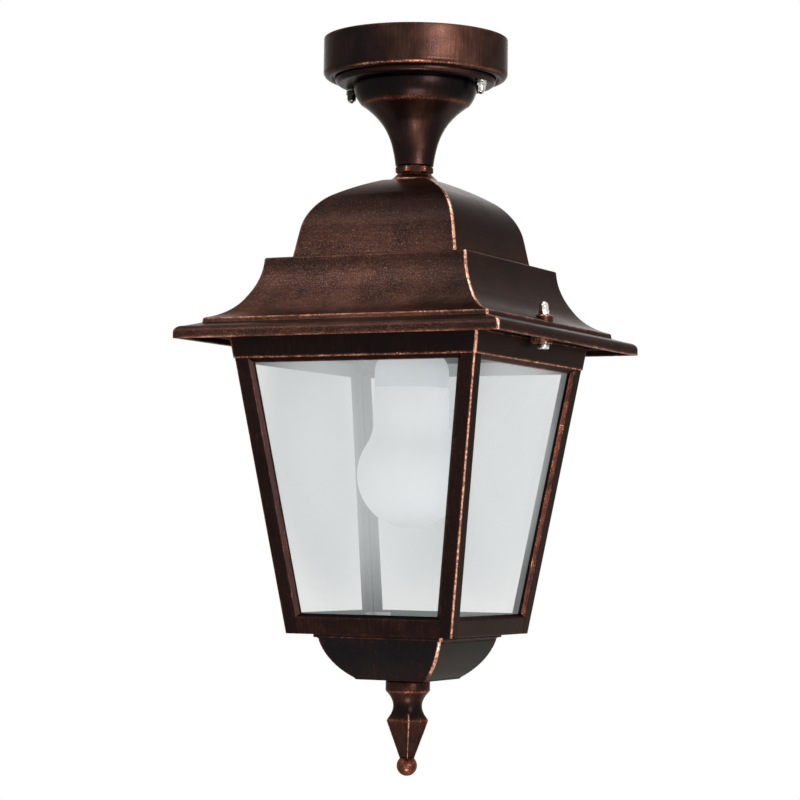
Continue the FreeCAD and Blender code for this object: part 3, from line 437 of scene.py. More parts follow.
def makePiece(name, patches, body, material, nodes, sharp=35.0, weld=2e-6):
    # Every patch is a grid with its map, wear and rub. They are put in one mesh, welded at their seams and
    # poles, and turned outwards.
    verts, faces, uvs, wears, rubs = [], [], [], [], []
    first = 0
    for patch in patches:
        rows, columns = patch["xyz"].shape[:2]
        cells = patchFaces(rows, columns, first, patch.get("closeRows", True), True)
        verts.append(patch["xyz"].reshape(-1, 3) * mm)
        uvs.append(patch["uv"].reshape(-1, 2) * mm)
        wears.append(patch["wear"].ravel())
        rubs.append(patch["rub"].ravel())
        faces += cells.tolist()
        for row in patch.get("caps", ()):
            faces.append((first + (row % rows) * columns + np.arange(columns)).tolist())
        first += rows * columns
    mesh = bpy.data.meshes.new(name)
    mesh.from_pydata(np.concatenate(verts).tolist(), [], faces)
    layer = mesh.uv_layers.new(name="flow")
    loops = np.empty(len(mesh.loops), np.int32)
    mesh.loops.foreach_get("vertex_index", loops)
    layer.data.foreach_set("uv", np.concatenate(uvs)[loops].astype(np.float32).ravel())
    for label, values in (("wear", wears), ("rub", rubs)):
        stored = mesh.attributes.new(label, "FLOAT", "POINT")
        stored.data.foreach_set("value", np.concatenate(values).astype(np.float32))
    solid = bmesh.new()
    solid.from_mesh(mesh)
    bmesh.ops.remove_doubles(solid, verts=solid.verts, dist=weld)
    bmesh.ops.dissolve_degenerate(solid, edges=solid.edges, dist=weld / 2)
    bmesh.ops.recalc_face_normals(solid, faces=solid.faces)
    solid.to_mesh(mesh)
    solid.free()
    piece = bpy.data.objects.new(name, mesh)
    bpy.context.scene.collection.objects.link(piece)
    mesh.materials.append(material)
    mesh.shade_smooth()
    mesh.set_sharp_from_angle(angle=math.radians(sharp))
    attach(piece, body)
    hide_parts(*nodes)


def drum(section, centre=(0.0, 0.0), columns=40, rubAmount=1.0, **kind):
    # a turned solid on its own vertical axis
    patch = roundPath(outline(section, **kind), columns, centre)
    patch["rub"] = patch["rub"] * rubAmount
    return patch


def bearing(xyz):
    # degrees from the front (-Y) towards the right (+X)
    return np.degrees(np.arctan2(xyz[:, :, 0], -xyz[:, :, 1]))


def bell(value, middle, width):
    # exp(-((value - middle) / width) squared)
    return np.exp(-((value - middle) / width) ** 2)


def bells(value, level, *humps):
    # level, plus size times a bell for each hump (size, middle, width)
    return level + sum(size * bell(value, middle, width) for size, middle, width in humps)


# rub and wear tables are (places, amounts); the round ones are (level, humps), over degrees from the front.
# Tables named for painted light, sheen or highlight paint light and shade into the colour.
canopyForm = {
    "r": 52.0, "disc": 45.4, "rim": -22.6, "low": -25.8, "wall": 2.2, "bore": 5.15,
    "rubAndPaintedLightByRadius": ([0, 43, 45.3, 46.4, 47.6, 49.5, 51], [0.1, 0.1, 0.6, 0.05, 0.1, 0.3, 1.0]),
    "rubAndPaintedSheenRound": (0.08, (0.95, 46.0, 33.0), (0.25, -58.0, 18.0)),
    "rimAt": (50.7, -21.4), "rimWearAndHighlight": (0.2, (0.75, 24.0, 42.0)), "rimWidth": 0.9,
}


def canopySection(c):
    # The cover's wall: out along the small disc and round its edge, up into the groove, over the rolled rim
    # and up the side, then back inside by one wall.
    r, d, rim, low = c["r"], c["disc"], c["rim"], c["low"]
    seen = [(c["bore"], low), (d - 2.8, low), ((d - 0.85, low + 0.85), (d, low + 2.8)), (d, rim + 1.2),
            (d + 1.2, rim + 1.2), (d + 2.0, rim), (r - 3.6, rim),
            ((r - 1.0, rim + 1.1), (r, rim + 4.2)), (r, 0)]
    inner = r - c["wall"]
    hidden = [(inner, 0), (inner, rim + 4.4), (inner - 1.6, rim + 2.8), (d - 2.0, rim + 2.8),
              (d - 2.0, low + 3.8), (d - 3.4, low + 2.4), (c["bore"], low + 2.4)]
    return outline(seen, hidden, soft=0.35, wearWidth=1.1, crease=0.22, creaseWear=0.3)


canopy = roundPath(canopySection(canopyForm), 128)
facing = bearing(canopy["xyz"])
radius = np.hypot(canopy["xyz"][:, :, 0], canopy["xyz"][:, :, 1])
# rub by radius: darker in the groove, partly patina and partly painted shade, and lightest at the rim, partly
# painted highlight; by facing, a painted sheen right of the front and a smaller one left of it
canopy["rub"] *= np.interp(radius, *canopyForm["rubAndPaintedLightByRadius"]) * bells(facing, *canopyForm["rubAndPaintedSheenRound"])
# painted highlight along the rolled rim, strongest 24 degrees right of the front, over a light even wear
rimR, rimZ = canopyForm["rimAt"]
rimAway = np.hypot(radius - rimR, canopy["xyz"][:, :, 2] - rimZ)
rimWearAndHighlight = bells(facing, *canopyForm["rimWearAndHighlight"]) * bell(rimAway, 0.0, canopyForm["rimWidth"])
canopy["wear"] = np.maximum(canopy["wear"], rimWearAndHighlight)
makePiece("canopyCover", [canopy], "ceiling_mount", copperTurned, ["canopy"])

stemForm = {
    "seen": [(34.9, -25.8), ((33.7, -32.0), (30.6, -37.0)), (29.5, -37.6), ((23.5, -42.5), (18.8, -47.7)),
             ((14.5, -55.5), (12.2, -63.1)), ((11.3, -67.5), (10.7, -71.8))],
    "hidden": [(5.1, -71.8), (5.1, -60.0), (10.3, -60.0), ((12.6, -53.4), (16.8, -45.9)),
               ((21.7, -40.5), (27.0, -36.3)), ((30.6, -31.4), (32.3, -25.8))],
    "rubAndPaintedLightByHeight": ([-71.8, -66, -56, -44, -39, -37.4, -35.5, -33],
                    [1.0, 0.8, 0.8, 0.7, 0.7, 1.0, 0.3, 0.12]),
    "rubAndPaintedSheenRound": (0.2, (0.95, 36.0, 18.0)),
    "wearByHeight": ([-70, -69, -28, -26.5], [0.3, 1.0, 1.0, 0.0]),
    "step": (-37.5, 0.9), "stepWearAndHighlight": (0.25, (0.5, 30.0, 45.0)),
}
stemSection = outline(stemForm["seen"], stemForm["hidden"], soft=0.3, wearWidth=1.3, crease=0.25,
                      creaseWear=0.35)
stem = roundPath(stemSection, 96)
facing = bearing(stem["xyz"])
height = stem["xyz"][:, :, 2]
# rub by height, partly rubbing and partly painted light: dark in the bowl under the cover, light at the step
# and down the neck; by facing, a painted sheen band right of the front
stem["rub"] *= np.interp(height, *stemForm["rubAndPaintedLightByHeight"]) * bells(facing, *stemForm["rubAndPaintedSheenRound"])
stem["wear"] *= np.interp(height, *stemForm["wearByHeight"])
# the step's copper band is a light wear all round and a painted highlight towards the front right
stepWearAndHighlight = bells(facing, *stemForm["stepWearAndHighlight"]) * bell(height, *stemForm["step"])
stem["wear"] = np.maximum(stem["wear"], stepWearAndHighlight)
makePiece("trumpetStem", [stem], "ceiling_mount", copperTurned, ["trumpet_stem"])


def hexRadius(angle, flats):
    # distance from the axis to a hexagon's side, by direction
    folded = (angle + np.pi / 6) % (np.pi / 3) - np.pi / 6
    return flats / 2 / np.cos(folded)


def nutPatch(s, centre, direction=1, rub=0.0):
    # Rows are (height, turned radius). Up to hexTop the surface is the smaller of the turned radius and
    # the hexagon, above it the turned radius alone. direction -1 hangs it upside down.
    flats, hexTop = s["flats"], s["hexTop"]
    rows = np.array(s["levels"], float)
    angle = np.linspace(0, 2 * np.pi, s["columns"], endpoint=False)[None]
    radius = rows[:, 1:] + 0 * angle
    hexagon = hexRadius(angle - math.radians(s["turn"]), flats) + 0 * radius
    radius = np.where(rows[:, :1] <= hexTop + 1e-6, np.minimum(radius, hexagon), radius)
    x = centre[0] + radius * np.cos(angle)
    y = centre[1] + direction * radius * np.sin(angle)
    z = centre[2] + direction * rows[:, :1] + 0 * radius
    proud = flats * 0.0774  # a hexagon's corner stands this far past half its flats
    wear = np.clip((radius - flats / 2) / proud, 0, 1) * (rows[:, :1] <= hexTop)
    uv = np.stack([radius * angle, rows[:, :1] + 0 * radius], 2)
    return {"xyz": np.stack([x, y, z], 2), "uv": uv, "wear": wear, "rub": 0 * radius + rub,
            "closeRows": False}


capNutForm = {
    "flats": 5.5, "hexTop": 2.4, "turn": 15.0, "columns": 72,
    "levels": [(0, 0), (0, 2.6), (0.12, 2.95), (0.35, 3.18), (2.05, 3.18), (2.4, 2.75), (2.42, 2.62),
               (2.6, 2.56), (4.6, 2.5), (5.3, 2.4), (5.9, 2.12), (6.4, 1.7), (6.8, 1.18), (7.08, 0.6),
               (7.2, 0.0)],
}
fixings = [(-80.2, 0.0), (80.2, 0.0)]  # the two screws that hold the cage to the roof
fixingSeat = -157.7
for name, node, place in zip(("capNutLeft", "capNutRight"), ("cap_nut_left", "cap_nut_right"), fixings):
    patch = nutPatch(capNutForm, (*place, fixingSeat))
    makePiece(name, [patch], node, finishes["polished_nickel"], [node])

# the left one of the canopy's nuts is old and dark, and each is brighter at its tip
ceilingNutForm = {"x": 40.6, "seat": -26.3, "rub": (1.0, 0.1),
                  "tip": ([-33.5, -32.0, -30.5], [0.2, 0.6, 1.0])}
ceilingNuts = []
for side, rub in zip((-1, 1), ceilingNutForm["rub"]):
    patch = nutPatch(capNutForm, (side * ceilingNutForm["x"], 0, ceilingNutForm["seat"]), -1, rub)
    patch["rub"] *= np.interp(patch["xyz"][:, :, 2], *ceilingNutForm["tip"])
    ceilingNuts.append(patch)
makePiece("canopyCapNuts", ceilingNuts, "ceiling_mount", agedNickel("agedNickel"),
          ["canopy_cap_nuts"])

lockForm = {
    "flats": 18.5, "hexTop": 5.0, "turn": 0.0, "columns": 96, "end": -76.3, "rub": 0.7, "wear": 0.6,
    "levels": [(0, 5.0), (0, 8.88), (0.3, 9.6), (0.7, 10.4), (1.0, 10.69), (3.5, 10.69), (3.8, 10.4),
               (4.2, 9.6), (4.5, 8.88), (4.5, 5.0)],
}
lockNut = nutPatch(lockForm, (0, 0, lockForm["end"]), 1, lockForm["rub"])
lockNut["wear"] *= lockForm["wear"]
lockNut["closeRows"] = True
makePiece("stemLockNut", [lockNut], "ceiling_mount", copperSmall, ["stem_lock_nut"])
cupWasherForm = [(5.1, -80.4), (13.3, -80.4), (12.9, -79.5), (12.2, -79.0), (9.5, -76.3), (5.1, -76.3)]
# the wide wear spreads copper over the washer's cone: partly worn copper and partly a painted highlight
cupWasher = drum(cupWasherForm, columns=72, soft=0.3, step=0.6, wearWidth=2.2)
makePiece("roofCupWasher", [cupWasher], "ceiling_mount", copperSmall, ["roof_cup_washer"])
print("canopy, stem and nuts made")

roofForm = {
    "seen": [(5.06, -80.4), (13.4, -80.4), ((24.2, -84.9), (35.4, -91.2)),  # dome
             ((43.4, -100.3), (47.4, -111.7)), (50.0, -126.3),
             ((50.4, -127.15), (51.3, -127.5)), (60.3, -127.5), ((61.1, -127.85), (61.4, -128.7)),  # ledge
             ((63.3, -138.8), (68.3, -149.2)), ((75.0, -157.0), (84.8, -161.8)),  # flare
             (85.6, -162.2), (86.0, -164.7), (93.4, -166.9), ((96.5, -168.1), (97.55, -170.2)),  # bead, brim
             (97.55, -173.9), (94.95, -173.9), (94.95, -170.7), ((94.2, -169.9), (92.6, -169.3)),
             (84.2, -166.9)],
    "hidden": [(83.6, -164.2), ((73.4, -159.0), (66.1, -150.7)), ((60.9, -139.6), (58.9, -130.1)),
               (49.6, -130.1), ((48.2, -129.6), (47.5, -127.2)), (45.0, -112.6),
               ((41.2, -101.9), (33.9, -93.4)), ((23.4, -87.4), (14.5, -83.4)), (14.5, -86.4),
               (5.06, -86.4)],
    "rubAndPaintedLightByHeight": ([-174, -168, -164, -161, -150, -140, -130, -127, -118, -108, -98, -88, -84, -80],
                    [0.7, 0.7, 0.8, 1.4, 0.9, 0.7, 0.6, 1.1, 0.75, 0.4, 0.35, 0.7, 1.3, 1.7]),
    "paintedShadeRight": (0.6, 1.2), "paintedShadeLeft": (0.3, 3), "collar": (-81.5, 3.5), "collarWearAndLight": 0.34,
    "boss": [(0, -158.3), (5.2, -158.3), (5.2, -170.4), (0, -170.4)], "bossRub": 0.6,
}
roofSection = outline(roofForm["seen"], roofForm["hidden"], soft=0.35, step=1.7, wearWidth=0.8, crease=0.2,
                      creaseWear=0.55)
# the default rub levels by side paint light and shade: the front lightest, the right side darkest
roofShell = squarePath(roofSection, soft=0.8)
x, y, z = np.moveaxis(roofShell["xyz"], 2, 0)
# rub by height also paints light: lighter at the dome's top, just above the ledge and low on the flare,
# darker down the dome's middle
roofShell["rub"] *= np.interp(z, *roofForm["rubAndPaintedLightByHeight"])
# painted shade: the front is darker towards its two edges, most towards the right; along runs from -1 to 1
# across it
onFront = (y < 0) & (np.abs(y) >= np.abs(x))
along = np.where(onFront, x / np.maximum(np.abs(y), 1.0), 0.0)
rightShade, rightPower = roofForm["paintedShadeRight"]
leftShade, leftPower = roofForm["paintedShadeLeft"]
roofShell["rub"] *= (1.0 - rightShade * np.clip(along, 0, 1) ** rightPower
                     - leftShade * np.clip(-along, 0, 1) ** leftPower)
# the collar's copper round the dome's top is partly wear and partly painted light that lifts the shade under
# the cover
roofShell["wear"] = np.maximum(roofShell["wear"], roofForm["collarWearAndLight"] * bell(z, *roofForm["collar"]))
bosses = [drum(roofForm["boss"], place, 48, roofForm["bossRub"], soft=0.35, step=1.0, wearWidth=0.8)
          for place in fixings]
makePiece("roofShell", [roofShell, *bosses], "roof_head", copperRoof,
          ["roof_crown", "roof_skirt", "roof_brim"])

roofWasherForm = [(1.7, -158.3), (3.5, -158.3), (3.5, fixingSeat), (1.7, fixingSeat)]
washers = [drum(roofWasherForm, place, soft=0.12, step=0.8, wearWidth=0.6) for place in fixings]
makePiece("roofWashers", washers, "roof_head", copperSmall, ["roof_washers"])
print("roof made")

# tuples of four start at the front side, or the front right post, and go anticlockwise seen from above
cageForm = {
    "half": 72.5, "atZ": -184.9, "slope": 0.1477, "top": -171.0, "end": -334.0, "wall": 4.0, "post": 10.5,
    "bevel": 2.2, "windowTop": -186.0, "windowEnd": -322.7, "bandEnd": -183.5, "proud": 0.6,
    "postSoft": 0.8, "cornerWear": (0.85, 0.5, 0.62, 0.42), "cornerWidth": (0.4, 0.5),
    # the rub levels by side paint light and shade on the posts and bands
    "bevelWear": (0.1, 0.26, 0.2, 0.1), "postRubAndPaintedLight": (0.35, 0.2, 0.3, 0.3),
    "topRubAndPaintedLight": (0.2, 0.35, 0.3, 0.3), "endRubAndPaintedLight": (0.7, 0.4, 0.6, 0.5),
    "hole": 31.0, "floor": 3.0, "floorInset": 0.4, "floorRub": 0.1,
}


def cageHalf(z):
    return cageForm["half"] + cageForm["slope"] * (z - cageForm["atZ"])


def ringSection(rows, hidden, **kind):
    # rows are (depth behind the face, z): the face leans, so each becomes (half width, z)
    place = [(cageHalf(z) - depth, z) for depth, z in rows]
    inside = [(cageHalf(z) - depth, z) for depth, z in hidden]
    return outline(place, inside, **kind)


def topSection(c):
    # a lip that stands proud of the posts, then a bevel down into the windows
    back = c["wall"] - 0.1
    rows = [(back, c["top"]), (-c["proud"], c["top"]), (-c["proud"], c["bandEnd"]),
            (0.0, c["bandEnd"] - 0.3), (c["bevel"], c["windowTop"]), (back, c["windowTop"])]
    return ringSection(rows, [], soft=0.25, step=1.2, wearWidth=0.8, crease=0.15, creaseWear=0.6)


def endSection(c):
    # a plain face just behind the posts', with a bevel up into the windows
    back = c["wall"] - 0.1
    rows = [(0.08, c["windowEnd"] - c["bevel"]), (0.08, c["end"])]
    hidden = [(back, c["end"]), (back, c["windowEnd"]), (c["bevel"], c["windowEnd"])]
    return ringSection(rows, hidden, soft=0.25, step=1.0, wearWidth=0.8, creaseWear=0.14)


def postPatch(c, k):
    # An L-shaped section at one corner, carried down the leaning cage. p and q are the distances from the
    # corner along its two faces, x = half - p and y = -(half - q), then turned k quarter turns.
    w, b, d, r = c["post"], c["bevel"], c["wall"], c["postSoft"]
    outer = [(r, 0.0), (w - b, 0.0), (w, b), (w, d), (d, d), (d, w), (b, w), (0.0, w - b), (0.0, r)]
    roundCorner = ((r * 0.293, r * 0.293), (r, 0.0))  # 0.293 is 1 - cos 45
    section = outline(outer + [roundCorner], soft=0.22, step=0.9, wearWidth=0.75, axis=False)
    p, q = section["at"][:, 0], section["at"][:, 1]
    onFace = (np.minimum(p, q) < d - 0.3).astype(float)
    flat, fade = c["cornerWidth"]
    away = np.hypot(np.clip(p, 0, None), np.clip(q, 0, None))
    corner = c["cornerWear"][k] * bell(np.clip(away - flat, 0, None), 0.0, fade)
    wear = np.maximum(section["wear"] * 0.3, corner) * onFace
    onBevel = (p > w - b + 0.1) & (q > 0.1) & (q < b + 0.1)
    wear = np.maximum(wear, np.where(onBevel, c["bevelWear"][k], 0.0))
    z = np.linspace(c["bandEnd"] + 1.5, c["end"], 40)[:, None]
    half = cageHalf(z)
    x = half - p[None]
    y = -(half - q[None])
    cs, sn = round(math.cos(k * math.pi / 2)), round(math.sin(k * math.pi / 2))
    xyz = np.stack([cs * x - sn * y, sn * x + cs * y, z + 0 * x], 2)
    # the rub level by side paints light and shade
    rub = np.where(q < p, c["postRubAndPaintedLight"][k], c["postRubAndPaintedLight"][(k + 1) % 4])[None] + 0 * x
    length = section["length"][None] + 0 * x
    return {"xyz": xyz, "uv": np.stack([length, z + 0 * x], 2), "wear": wear[None] + 0 * x,
            "rub": rub * onFace[None], "closeRows": False, "caps": (0, -1)}


def floorPatch(c):
    # a square plate with a round hole: each ring runs either on the square or on the circle
    low, high = c["end"] + 0.05, c["end"] + c["floor"]
    corner = np.array([[cageHalf(c["end"]) - c["floorInset"], low]])
    one = np.ones(1)
    square = squarePath({"at": corner, "wear": 0 * one, "seen": one, "length": 0 * one})["xyz"][0]
    sx, sy = square[:, 0], square[:, 1]
    a = np.arctan2(sy, sx)
    hx, hy = c["hole"] * np.cos(a), c["hole"] * np.sin(a)
    rings = [(sx, sy, low), (hx, hy, low), (hx, hy, high), (sx, sy, high)]
    xyz = np.stack([np.stack([x, y, 0 * x + z], 1) for x, y, z in rings])
    flat = np.zeros(xyz.shape[:2])
    return {"xyz": xyz, "uv": xyz[:, :, :2].copy(), "wear": flat, "rub": flat + c["floorRub"]}


lugForm = {"root": 73.6, "screw": 80.2, "r": 5.0, "low": -174.0, "high": -170.4, "soft": 0.3, "rub": 1.0}


def lugOutline(s, sign):
    # a straight tongue with a half round end about the screw
    a = np.linspace(-np.pi / 2, np.pi / 2, 17)
    end = np.stack([s["screw"] + s["r"] * np.cos(a), s["r"] * np.sin(a)], 1)
    return sign * np.concatenate([[[s["root"], -s["r"]]], end, [[s["root"], s["r"]]]])


def lugPatch(s, sign):
    # the outline raised from low to high, its rims drawn in by soft towards the middle
    shape = lugOutline(s, sign)
    middle = shape.mean(0)
    reach = np.linalg.norm(shape - middle, axis=1, keepdims=True)
    drawn = middle + (shape - middle) * (1 - s["soft"] / reach)
    rings = [(drawn, s["low"]), (shape, s["low"] + s["soft"]), (shape, s["high"] - s["soft"]),
             (drawn, s["high"])]
    xyz = np.stack([np.concatenate([ring, np.full((len(ring), 1), z)], 1) for ring, z in rings])
    rows, columns = xyz.shape[:2]
    wear = np.repeat(np.array([[0.2], [0.9], [0.9], [0.2]]), columns, 1)
    length = np.concatenate([[0], np.cumsum(np.linalg.norm(np.diff(shape, axis=0), axis=1))])
    uv = np.stack([length[None] + np.zeros((rows, 1)), xyz[:, :, 2]], 2)
    return {"xyz": xyz, "uv": uv, "wear": wear, "rub": np.full((rows, columns), s["rub"]),
            "closeRows": False, "caps": (0, -1)}


topBand = squarePath(topSection(cageForm), soft=0.9, sideRubAndPaintedLight=cageForm["topRubAndPaintedLight"])
endBand = squarePath(endSection(cageForm), soft=0.8, sideRubAndPaintedLight=cageForm["endRubAndPaintedLight"])
posts = [postPatch(cageForm, k) for k in range(4)]
lugs = [lugPatch(lugForm, sign) for sign in (-1, 1)]
makePiece("cageFrame", [topBand, endBand, *posts, floorPatch(cageForm), *lugs], "lantern_cage", copperCage,
          ["cage_frame", "cage_lugs"])
print("cage made")

screwForm = {
    "radius": 3.2, "height": 2.1, "slot": 0.8, "slotDepth": 0.9, "slotFrom": 0.7, "turn": 35.0,
    "seat": -174.6, "shankR": 1.5, "shank": 21.2,
    "rise": [0, 0.0, 0.45, 0.8, 0.95, 1.0, 1.0, 1.0, 1.0, 1.0, 1.0],  # of the height
    "reach": [0, 1.0, 1.0, 0.95, 0.87, 0.8, 0.62, 0.45, 0.3, 0.15, 0.0],  # of the radius
}


def screwHead(s, centre):
    # a rounded head: rings shrink to the middle, and where |across| < slot / 2 the face is lowered
    rise = np.array(s["rise"])[:, None]
    r = np.array(s["reach"])[:, None] * s["radius"]
    angle = np.linspace(0, 2 * np.pi, 96, endpoint=False)[None]
    x = r * np.cos(angle)
    y = r * np.sin(angle)
    turned = math.radians(s["turn"])
    cross = -x * math.sin(turned) + y * math.cos(turned)
    sunk = (np.abs(cross) < s["slot"] / 2) & (rise > s["slotFrom"])
    z = -s["height"] * rise + np.where(sunk, s["slotDepth"], 0.0)
    xyz = np.stack([centre[0] + x, centre[1] + y, s["seat"] + z], 2)
    flat = np.zeros(x.shape)
    return {"xyz": xyz, "uv": xyz[:, :, :2].copy(), "wear": flat, "rub": flat, "closeRows": False}


shankR, shankTop = screwForm["shankR"], screwForm["seat"] + screwForm["shank"]
shankSection = [(0, -174.7), (shankR, -174.7), (shankR, shankTop), (0, shankTop)]
screws = []
for place in fixings:
    screws += [screwHead(screwForm, place), drum(shankSection, place, 24, 0.0, soft=0.1, step=4.0)]
makePiece("roofScrews", screws, "lantern_cage", finishes["zinc_steel"], ["roof_screws"])

cupForm = {
    "seen": [(3.2, -359.4), (21.4, -359.4), ((21.9, -359.25), (22.3, -358.6)),
             ((32.2, -348.6), (37.2, -337.8)), (37.2, -337.0), (38.1, -336.1), (39.4, -336.1),
             (39.4, -334.0)],
    "hidden": [(34.8, -334.0), (34.8, -338.0), ((30.4, -347.4), (21.2, -356.6)), (20.6, -357.0),
               (3.2, -357.0)],
    # the rub levels by side paint light and shade: the right side darkest
    "sideRubAndPaintedLight": (0.3, 0.2, 0.3, 0.3), "mitre": (0.85, 0.4, 0.5, 0.25),
    "wearByHeight": ([-359, -350], [0.45, 1.0]),
    # rub by height also paints light: lighter at the foot and at the top, darker in the middle
    "rubAndPaintedLightByHeight": ([-359.4, -354, -345, -336, -334], [2.2, 1.6, 0.6, 0.8, 2.0]),
}
cupSection = outline(cupForm["seen"], cupForm["hidden"], soft=0.3, step=1.2, wearWidth=0.7, crease=0.25,
                     creaseWear=0.3)
cup = squarePath(cupSection, soft=1.0, sideRubAndPaintedLight=cupForm["sideRubAndPaintedLight"], mitre=cupForm["mitre"])
height = cup["xyz"][:, :, 2]
cup["wear"] *= np.interp(height, *cupForm["wearByHeight"])
cup["rub"] *= np.interp(height, *cupForm["rubAndPaintedLightByHeight"])
makePiece("bottomCup", [cup], "lantern_cage", copperCup, ["bottom_cup"])

finialForm = {
    "levels": [  # z, radius over the edges, radius over the faces, wear
        (-359.4, 0.0, 0.0, 0.0), (-359.4, 11.2, 11.2, 0.0), (-359.7, 11.6, 11.6, 0.2),
        (-360.4, 12.25, 12.25, 0.35), (-360.9, 12.4, 12.4, 0.2), (-363.2, 12.4, 12.4, 0.1),
        (-365.5, 12.4, 12.4, 0.2), (-365.9, 12.3, 12.3, 0.45), (-366.2, 12.0, 12.0, 0.45),
        (-366.7, 11.6, 11.6, 0.3), (-367.2, 11.1, 11.1, 0.1), (-368.4, 10.1, 10.1, 0.0),
        (-369.9, 9.2, 9.2, 0.0), (-371.6, 8.45, 8.45, 0.0), (-373.2, 8.1, 8.1, 0.0),
        (-374.6, 8.05, 8.0, 0.0), (-376.0, 8.25, 7.95, 0.0), (-377.4, 8.7, 7.95, 0.0),
        (-378.6, 9.25, 7.9, 0.0), (-379.6, 9.9, 7.9, 0.0), (-380.6, 10.6, 8.02, 0.1),
        (-381.4, 11.2, 8.15, 0.25), (-381.95, 11.6, 8.3, 0.4), (-382.25, 11.7, 8.35, 0.4),
        (-382.6, 11.6, 8.3, 0.35), (-383.4, 11.35, 8.1, 0.2), (-388.0, 9.66, 6.9, 0.1),
        (-394.0, 7.43, 5.31, 0.1), (-400.0, 5.22, 3.73, 0.1), (-403.2, 4.05, 2.89, 0.0),
        (-404.8, 3.45, 2.46, 0.0), (-406.0, 0.0, 0.0, 0.0)],
    # rub by height also paints light and shade: lightest just under the flange, darkest low on the waist
    "rubAndPaintedLightByHeight": ([-406, -384, -381, -379, -373.5, -371, -367, -359],
                    [0.8, 0.8, 0.5, 0.1, 0.15, 0.7, 1.0, 0.9]),
    "turn": -60.0, "perSide": 18, "around": 60.0, "ridgeWear": 0.9, "ridgeWidth": 0.35, "sharp": 40.0,
    "ball": {"radius": 5.7, "z": -407.3, "wear": 0.4, "rub": 1.0},
}


def quarterTurns(points):
    # the points turned by 0, 90, 180 and 270 degrees about the axis, one after another
    x, y = points[:, 0], points[:, 1]
    return np.concatenate([np.stack(pair, 1) for pair in ((x, y), (-y, x), (-x, -y), (y, -x))])


def finialPatch(s):
    # Each level is four arcs, each through two edge points and the middle of the face between them. The
    # ridge is worn where the surface comes within ridgeWidth of the edge's radius.
    perSide = s["perSide"]
    z, edge, face, level = (np.array(column)[:, None] for column in zip(*s["levels"]))
    rings = []
    for atEdge, atFace in zip(edge[:, 0], face[:, 0]):
        if atEdge < 1e-6:
            rings.append(np.zeros((4 * perSide, 2)))
        else:
            h = math.sqrt(0.5) * max(atFace, 0.708 * atEdge)
            arc = arcThrough((atEdge, 0.0), (h, h), (0.0, atEdge), perSide + 1)
            rings.append(quarterTurns(arc[:-1]))
    ring = np.stack(rings)
    reach = np.hypot(ring[:, :, 0], ring[:, :, 1])
    ridge = s["ridgeWear"] * np.clip(1 - (edge - reach) / s["ridgeWidth"], 0, 1) * (edge - face > 0.8)
    turned = math.radians(s["turn"])
    x = ring[:, :, 0] * math.cos(turned) - ring[:, :, 1] * math.sin(turned)
    y = ring[:, :, 0] * math.sin(turned) + ring[:, :, 1] * math.cos(turned)
    u = np.linspace(0, s["around"], 4 * perSide)[None] + 0 * x
    rub = np.interp(z, *s["rubAndPaintedLightByHeight"]) + 0 * x
    return {"xyz": np.stack([x, y, z + 0 * x], 2), "uv": np.stack([u, z + 0 * x], 2),
            "wear": np.maximum(level, ridge), "rub": rub, "closeRows": False}


def ballPatch(s, rings=24, columns=48):
    # a sphere: radius times the sine (out) and cosine (up) of the polar angle, carried round the axis
    polar = np.linspace(0, np.pi, rings)[:, None]
    a = np.linspace(0, 2 * np.pi, columns, endpoint=False)[None]
    x = s["radius"] * np.sin(polar) * np.cos(a)
    y = s["radius"] * np.sin(polar) * np.sin(a)
    height = s["z"] + s["radius"] * np.cos(polar) + 0 * a
    uv = np.stack([s["radius"] * (a + 0 * polar), height], 2)
    return {"xyz": np.stack([x, y, height], 2), "uv": uv, "wear": s["wear"] + 0 * x,
            "rub": s["rub"] + 0 * x, "closeRows": False}


makePiece("finialSpear", [finialPatch(finialForm), ballPatch(finialForm["ball"])], "lantern_cage",
          copperSmall, ["finial"], sharp=finialForm["sharp"])
print("cup and finial made")

globeForm = {"r": 30.0, "z": -245.6, "wall": 1.2, "leave": math.radians(33), "pass": -0.5,
             "waist": (22.0, -222.6), "waistIn": (20.8, -222.9), "neck": 21.0, "neckIn": 19.8,
             "neckZ": -214.0, "top": -197.65}


def globeArc(s, radius):
    # the stretch of the globe's circle up to where the neck leaves it: a point on the way, and its end
    return tuple((radius * math.cos(angle), s["z"] + radius * math.sin(angle))
                 for angle in (s["pass"], s["leave"]))


def globeSection(s):
    # pole, round the globe, in at the waist and up the neck, and the same inside by one wall
    inner = s["r"] - s["wall"]
    way, join = globeArc(s, s["r"])
    wayIn, joinIn = globeArc(s, inner)
    seen = [(0, s["z"] - s["r"]), (way, join), (s["waist"], (s["neck"], s["neckZ"])), (s["neck"], s["top"])]
    hidden = [(s["neckIn"], s["top"]), (s["neckIn"], s["neckZ"]), (s["waistIn"], joinIn),
              (wayIn, (0, s["z"] - inner))]
    return outline(seen, hidden, soft=0.3, step=2.2, crease=0.5)


bulb = roundPath(globeSection(globeForm), 96)
makePiece("opalBulb", [bulb], "lamp", finishes["opal_glass"], ["lamp_globe"])
housingForm = [(0, -197.4), (20.8, -197.4), (20.8, -187.0), ((19.0, -181.6), (14.8, -177.6)),
               (12.5, -177.6), (12.5, -165.6), (0, -165.6)]
housing = roundPath(outline(housingForm, soft=0.5, step=1.6, crease=0.5), 96)
makePiece("lampBase", [housing], "lamp", finishes["white_housing"], ["lamp_housing"])
print("lamp made")

slots = {part["node"]: part["material_slot"] for part in frame["record"]["subparts"]}
for node, thing in frame["nodes"].items():
    if not thing.hide_render:
        thing.data.materials.clear()
        thing.data.materials.append(finishes[slots[node]])
print("carried-over nodes finished")

